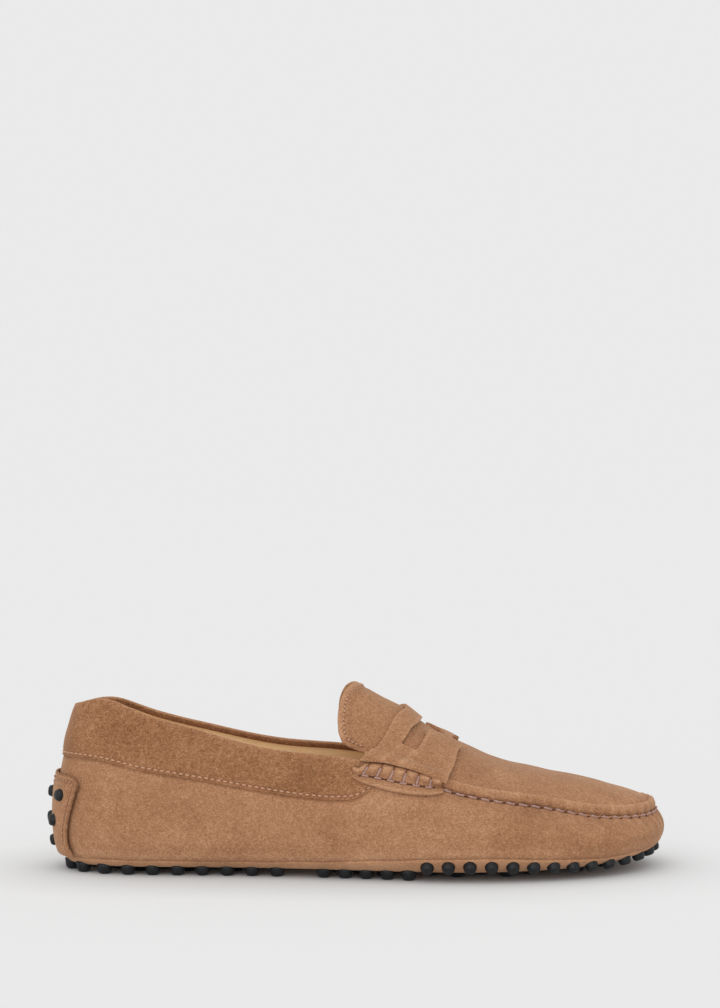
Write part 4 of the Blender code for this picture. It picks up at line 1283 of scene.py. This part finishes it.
edge, edge_ways = edge_feet()
field = field_feet()
feet = np.concatenate([edge, field])
ways = np.concatenate([edge_ways, np.tile([0, 0, -1.0], (len(field), 1))])
rests = feet[:, 2] < PEBBLE_HEIGHT + PEBBLE_ROOT / 2
ways[rests] = (0, 0, -1)
hanging = np.repeat([MARGIN_PEBBLE_HEIGHT, PEBBLE_HEIGHT], [len(edge), len(field)])
heights = np.where(rests, feet[:, 2], hanging)
radii = np.where(rests, PEBBLE_RADIUS, PEBBLE_RADIUS * MARGIN_SHARE)
pebble_piece = turned_studs("sole_pebbles_rubber", feet, ways, heights, radii)
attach(pebble_piece, "root")
print(len(feet), "pebbles,", int(rests.sum()), "of them on the floor")

# %% [markdown]
# ## The heel tab
# A small tab of suede covers the back of the heel, and seven pebbles come through it. It is cut from the
# wall's own surface, a little outside it, by an outline table.

# %% Heel tab
# Share of its height, half its width in stations
TAB_EDGE = (
    (0.00, 1.24),
    (0.10, 1.14),
    (0.30, 1.13),
    (0.55, 1.24),
    (0.80, 1.36),
    (0.94, 1.40),
    (1.00, 1.28),
)
TAB_SPAN = (0.015, 0.545)
TAB_SAG = 0.03
TAB_STITCH = 0.0022
# Height of the wall at the heel, and length of a station there
HEEL_WALL = 0.066
STATION_LENGTH = 0.0195
TAB_HEIGHT = (TAB_SPAN[1] - TAB_SPAN[0]) * HEEL_WALL
HEEL_ROWS = (
    (0.405, (-0.92, 0.0, 0.92)),
    (0.235, (-0.60, 0.0, 0.60)),
    (0.078, (0.0,)),
)


def tab_face(up, across, depth):
    """A face of the tab: up runs from 0 to 1 over its height, across from -1 to 1 over its width."""
    up, across = np.broadcast_arrays(np.asarray(up, float), np.asarray(across, float))
    half = open_curve(TAB_EDGE, up)[..., 0]
    low, high = TAB_SPAN
    share = low + (high - low) * up - TAB_SAG * up * across**2
    point = wall_point(across * half, share, -depth)
    return point, normals(wall_point, across * half, share)


def heel_tab():
    """The tab with a groove under its stitches and a soft crown between them."""
    up = np.linspace(0, 1, 64)[:, None]
    across = np.linspace(-1, 1, 84)[None, :]
    half = open_curve(TAB_EDGE, up)[..., 0]
    border = np.minimum((1 - up) * TAB_HEIGHT + 0 * across, (1 - np.abs(across)) * half * STATION_LENGTH)
    groove = hump(border - TAB_STITCH, 0.0006)
    relief = 0.0002 * ease(border / 0.006) - 0.00030 * groove
    # Painted shade in the stitch groove and along the tab's edge.
    shade = -0.12 * groove - 0.35 * hump(border, 0.0003)
    outer, normal = tab_face(up, across, OVER_HEEL)
    inner = tab_face(up, across, OVER_HEEL - TAB_SHEET)[0]
    outer = outer + normal * relief[..., None]
    return closed_sheet("heel_tab_suede", outer, inner, [SUEDE], "trbl", 0, shade)


dress(heel_tab(), "heel_tab")

places = np.array([(place, share) for share, row in HEEL_ROWS for place in row])
heel_foot = wall_point(places[:, 0], places[:, 1], -OVER_HEEL)
heel_way = normals(wall_point, places[:, 0], places[:, 1])
heel_high = np.full(len(places), HEEL_PEBBLE_HEIGHT)
heel_radii = np.full(len(places), HEEL_PEBBLE_RADIUS)
heel_studs = turned_studs("heel_pebbles_rubber", heel_foot, heel_way, heel_high, heel_radii, 28)
dress(heel_studs, "heel_pebbles")

# %% [markdown]
# ## Stitches
# Thread is two plies twisted together. A stitch is a short tube along the surface whose ring bulges twice
# as it turns, bowed up in the middle and dipping into a hole at each end. A row of stitches is cut from a
# path by its length, and all of them are one mesh.


# %% Thread helpers
def cut_stitches(path, pitch, length, samples=11, start=0.0):
    """Pieces of a path of points and normals (six numbers each), as (stitches, samples, 6)."""
    run = run_length(path)
    starts = np.arange(start, run[-1] - length, pitch)
    where = starts[:, None] + length * np.linspace(0, 1, samples)[None, :]
    return np.stack([np.interp(where, run, path[:, k]) for k in range(6)], -1)


def thread_mesh(name, stitches, radius, bow, material, plies=0.16, twist=2.0, sides=12):
    """Tubes: place + up bow sin(pi t)^0.7 + radius taper (1 + plies cos(2 (a - twist pi t))) (side cos a +
    up sin a), where taper is the square root of 1 - (2t - 1)^6."""
    place = stitches[..., :3]
    up = unit(stitches[..., 3:])
    aside = unit(np.cross(unit(np.gradient(place, axis=1)), up))
    t = np.linspace(0, 1, place.shape[1])
    taper = np.sqrt(np.clip(1 - (2 * t - 1) ** 6, 0, 1))
    turn = 2 * math.pi * np.arange(sides) / sides
    wide = radius * taper[:, None] * (1 + plies * np.cos(2 * (turn[None, :] - twist * math.pi * t[:, None])))
    line = place + up * (bow * np.sin(math.pi * t) ** 0.7)[None, :, None]
    ring = aside[:, :, None] * np.cos(turn)[:, None] + up[:, :, None] * np.sin(turn)[:, None]
    points = line[:, :, None] + ring * wide[None, :, :, None]
    count, samples = place.shape[:2]
    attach(build(name, points, repeat_quads(samples, sides, count), [material], merge=1e-6), "root")


def hole_mesh(name, stitches, radius, material=HOLE_SHADE, depth=0.35, sides=10, rings=6):
    """Dark dimples at the stitches' ends, painted shade of the holes: flat spheres that are mostly sunk."""
    first, last = stitches[:, 0], stitches[:, -1]
    ends = np.concatenate([first, last])
    ways = unit(np.concatenate([first - stitches[:, 1], last - stitches[:, -2]])[:, :3])
    up = unit(ends[:, 3:])
    aside = np.cross(ways, up)
    tilt = np.linspace(0, math.pi, rings)
    turn = 2 * math.pi * np.arange(sides) / sides
    flat = np.sin(tilt)[:, None] * np.cos(turn)[None, :], np.sin(tilt)[:, None] * np.sin(turn)[None, :]
    high = np.cos(tilt)[:, None] * depth + 0 * turn[None, :]
    centre = ends[:, :3] + ways * radius * 0.6
    axes = [(ways, flat[0] * 1.25), (aside, flat[1] * 0.85), (up, high)]
    dimple = sum(way[:, None, None] * size[None, ..., None] for way, size in axes)
    points = centre[:, None, None] + radius * dimple
    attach(build(name, points, repeat_quads(rings, sides, len(ends)), [material], merge=1e-6), "root")


# %% Seam stitches
# The apron's seam, from the front of one roll round the toe to the other
SEAM_START = 0.628
start = station_at(along(SEAM_START), 1)
stop = STATIONS + station_at(along(SEAM_START), -1)
at = np.linspace(start, stop, 900)
seat, seat_normal, _ = upper_face(at, 1 - 0.0006 / (section(at)["top"] - section(at)["feather"]))
seat_normal = seat_normal + np.array([0, 0, 0.35])
seam_line = np.concatenate([seat + seat_normal * 0.00025, seat_normal], -1)
seam_stitches = cut_stitches(seam_line, SEAM_PITCH, SEAM_PITCH * 0.74)
thread_mesh("seam_thread", seam_stitches, 0.00050, 0.00022, MAUVE_THREAD)
hole_mesh("seam_holes", seam_stitches, 0.00075)
print(len(seam_stitches), "stitches along the apron's seam")

# %% Band stitches
# Above the quarter band's edge, from strap to strap round the heel
BAND_PITCH = 0.0029
at = np.linspace(-6.30, 6.30, 1600)
here = section(at)
height = here["top"] - here["feather"]
row = open_curve(BAND_SEAM, share_along(here["x"]))[:, 0] + BAND_STITCH / height
seat, seat_normal, _ = upper_face(at, row, 0.00006)
band_stitches = cut_stitches(np.concatenate([seat, seat_normal], -1), BAND_PITCH, BAND_PITCH * 0.72, 9)
thread_mesh("band_thread", band_stitches, 0.00036, 0.00016, PINK_THREAD, sides=8)
hole_mesh("band_holes", band_stitches, 0.00040, SMALL_HOLE_SHADE, sides=8, rings=5)

# %% Tongue stitches
TONGUE_PITCH = 0.0021
TONGUE_INSET = 0.0012
share = np.linspace(-0.985, 0.985, 700)
throat = seam_point(np.array([THROAT, -THROAT]), *BEAD_OUTSIDE[-1])[:, 0]
x = throat[0] * (1 - share) / 2 + throat[1] * (1 + share) / 2 + tongue_shift(share) + TONGUE_ROUND
edge_line = apron_face(x, share)
face = np.stack([apron_face(x + 0.0005, share) - apron_face(x - 0.0005, share),
                 apron_face(x, share + 0.005) - apron_face(x, share - 0.005)])
up = unit(np.cross(face[0], face[1]))
up *= np.where(up[:, 2:] < 0, -1, 1)
inward = unit(np.cross(up, np.gradient(edge_line, axis=0)))
inward *= np.where(inward[:, :1] < 0, -1, 1)
tongue_line = np.concatenate([edge_line + inward * TONGUE_INSET + up * 0.0001, up], -1)
tongue_stitches = cut_stitches(tongue_line, TONGUE_PITCH, TONGUE_PITCH * 0.70, 9)
thread_mesh("tongue_thread", tongue_stitches, 0.00030, 0.00014, PINK_THREAD, sides=8)
hole_mesh("tongue_holes", tongue_stitches, 0.00036, SMALL_HOLE_SHADE, sides=8, rings=5)

# %% [markdown]
# ## Whip stitches on the rolls
# Each pinch between two cushions holds one turn of thread, which comes out under the strap and goes in
# above the lip. A row of running stitches joins their lower ends.

# %% Roll stitches
for name, side in (("outer", 1), ("inner", -1)):
    place = PUFF_START + (1 - PUFF_START) * np.arange(PUFFS)[:, None] / PUFFS
    down = np.linspace(0.16, 0.58, 15)[None, :]
    lean = PUFF_LEAN * (0.6 - down) * (1.15 - place)
    seat = roll_face(place + lean, down, side, lift=0.00030)
    way = np.concatenate([outward(station_at(seat[..., 0], side)), np.full((*seat.shape[:2], 1), 0.3)], -1)
    whips = np.concatenate([seat, way], -1)
    thread_mesh("whip_thread_" + name, whips, 0.00054, 0.00010, MAUVE_THREAD, twist=3.0)
    place = np.linspace(0.08, 0.985, 400)
    seat = roll_face(place, 0.60, side, lift=0.00015)
    way = np.concatenate([outward(station_at(seat[..., 0], side)), np.full((len(seat), 1), -0.2)], -1)
    running = cut_stitches(np.concatenate([seat, way], -1), SEAM_PITCH, SEAM_PITCH * 0.62, start=0.0009)
    thread_mesh("roll_thread_" + name, running, 0.00042, 0.00016, MAUVE_THREAD)
    hole_mesh("roll_holes_" + name, running, 0.00060)

# %% Tab stitches
TAB_PITCH = 0.0024
for name, inset, first in (("a", TAB_STITCH, 0.16), ("b", TAB_STITCH + 0.0020, 0.80)):
    top = 1 - inset / TAB_HEIGHT
    up = np.linspace(first, top, 120)
    side_share = 1 - inset / (open_curve(TAB_EDGE, up)[:, 0] * STATION_LENGTH)
    across = np.linspace(-side_share[-1], side_share[-1], 200)
    up = np.concatenate([up, 0 * across + top, up[::-1]])
    across = np.concatenate([-side_share, across, side_share[::-1]])
    seat, way = tab_face(up, across, OVER_HEEL + 0.00005)
    tab_stitches = cut_stitches(np.concatenate([seat, way], -1), TAB_PITCH, TAB_PITCH * 0.72, 9)
    thread_mesh("tab_thread_" + name, tab_stitches, 0.00030, 0.00012, TAN_THREAD, sides=8)

# %% [markdown]
# ## Floor, light and camera
# A plain pale floor and an even sky make the soft, nearly shadowless light of a catalogue page. The floor
# has a little light of its own, so that it ends in the same tone as the sky; near the shoe an occlusion node
# dims that glow, which paints a soft contact shadow. A broad sun from above and in front gives the apron its
# light top.

# %% Stage
PALE = colour(234, 234, 234)
FLOOR_SIZE = 60.0


def stage():
    """Floor, sky and two broad suns. Floor's tone = own glow * openness, a painted shadow, + albedo * (sky +
    suns).
    """
    mesh = bpy.data.meshes.new("floor")
    corners = [(x * FLOOR_SIZE, y * FLOOR_SIZE, 0) for x, y in ((-1, -1), (1, -1), (1, 1), (-1, 1))]
    mesh.from_pydata(corners, [], [(0, 1, 2, 3)])
    floor = show("floor", mesh)
    material = bpy.data.materials.new("floor")
    material.use_nodes = True
    tree = material.node_tree
    tree.nodes.remove(tree.nodes["Principled BSDF"])
    matte = tree.nodes.new("ShaderNodeBsdfDiffuse")
    glow = tree.nodes.new("ShaderNodeEmission")
    # Occlusion dims the floor's glow near the shoe: a painted contact shadow.
    shadow_glow = tree.nodes.new("ShaderNodeAmbientOcclusion")
    both = tree.nodes.new("ShaderNodeAddShader")
    matte.inputs["Color"].default_value = (*FLOOR_ALBEDO, 1)
    own = [PALE[0] - albedo * (PALE[0] + sun_on_floor()) for albedo in FLOOR_ALBEDO]
    print("glow of the floor:", np.round(own, 3))
    shadow_glow.inputs["Color"].default_value = (*own, 1)
    shadow_glow.inputs["Distance"].default_value = SHADOW_REACH
    shadow_glow.samples = 16
    tree.links.new(shadow_glow.outputs["Color"], glow.inputs["Color"])
    tree.links.new(matte.outputs[0], both.inputs[0])
    tree.links.new(glow.outputs[0], both.inputs[1])
    tree.links.new(both.outputs[0], tree.nodes["Material Output"].inputs["Surface"])
    mesh.materials.append(material)
    world = bpy.data.worlds.new("studio")
    bpy.context.scene.world = world
    world.use_nodes = True
    world.node_tree.nodes["Background"].inputs["Color"].default_value = PALE
    for name, strength, lean, turn, angle in SUNS:
        lamp = bpy.data.lights.new(name, "SUN")
        lamp.energy = strength
        lamp.angle = math.radians(angle)
        show(name, lamp).rotation_euler = (math.radians(lean), 0, math.radians(turn))


# Suns: name, strength, lean from straight down towards the camera's side, turn about Z, apparent size
SUNS = (
    ("key", 0.95, 66, -14, 60),
    ("top", 0.20, 8, 20, 60),
)
FLOOR_ALBEDO = (0.400, 0.412, 0.424)
SHADOW_REACH = 0.055


def sun_on_floor():
    """What the suns add to the sky's light on a level floor: strength * cos(lean) / pi each."""
    return sum(strength * math.cos(math.radians(lean)) for _, strength, lean, _, _ in SUNS) / math.pi


stage()
bpy.context.scene.view_settings.view_transform = "Standard"

# %% Camera
CAMERA_DISTANCE = 1.0
CAMERA_HEIGHT = 0.168
SCALE = 2153
FRAME_WIDTH = 720
CAMERA_ALONG = 0.1451
camera_data = bpy.data.cameras.new("camera")
camera_data.sensor_fit = "HORIZONTAL"
camera_data.sensor_width = 36
camera_data.lens = camera_data.sensor_width * SCALE * CAMERA_DISTANCE / FRAME_WIDTH
camera = show("camera", camera_data)
camera.location = (cad_low.x + CAMERA_ALONG, -CAMERA_DISTANCE, CAMERA_HEIGHT)
camera.rotation_euler = (math.pi / 2, 0, 0)
bpy.context.scene.camera = camera
print("camera", tuple(round(v, 4) for v in camera.location), "lens", round(camera_data.lens, 2))
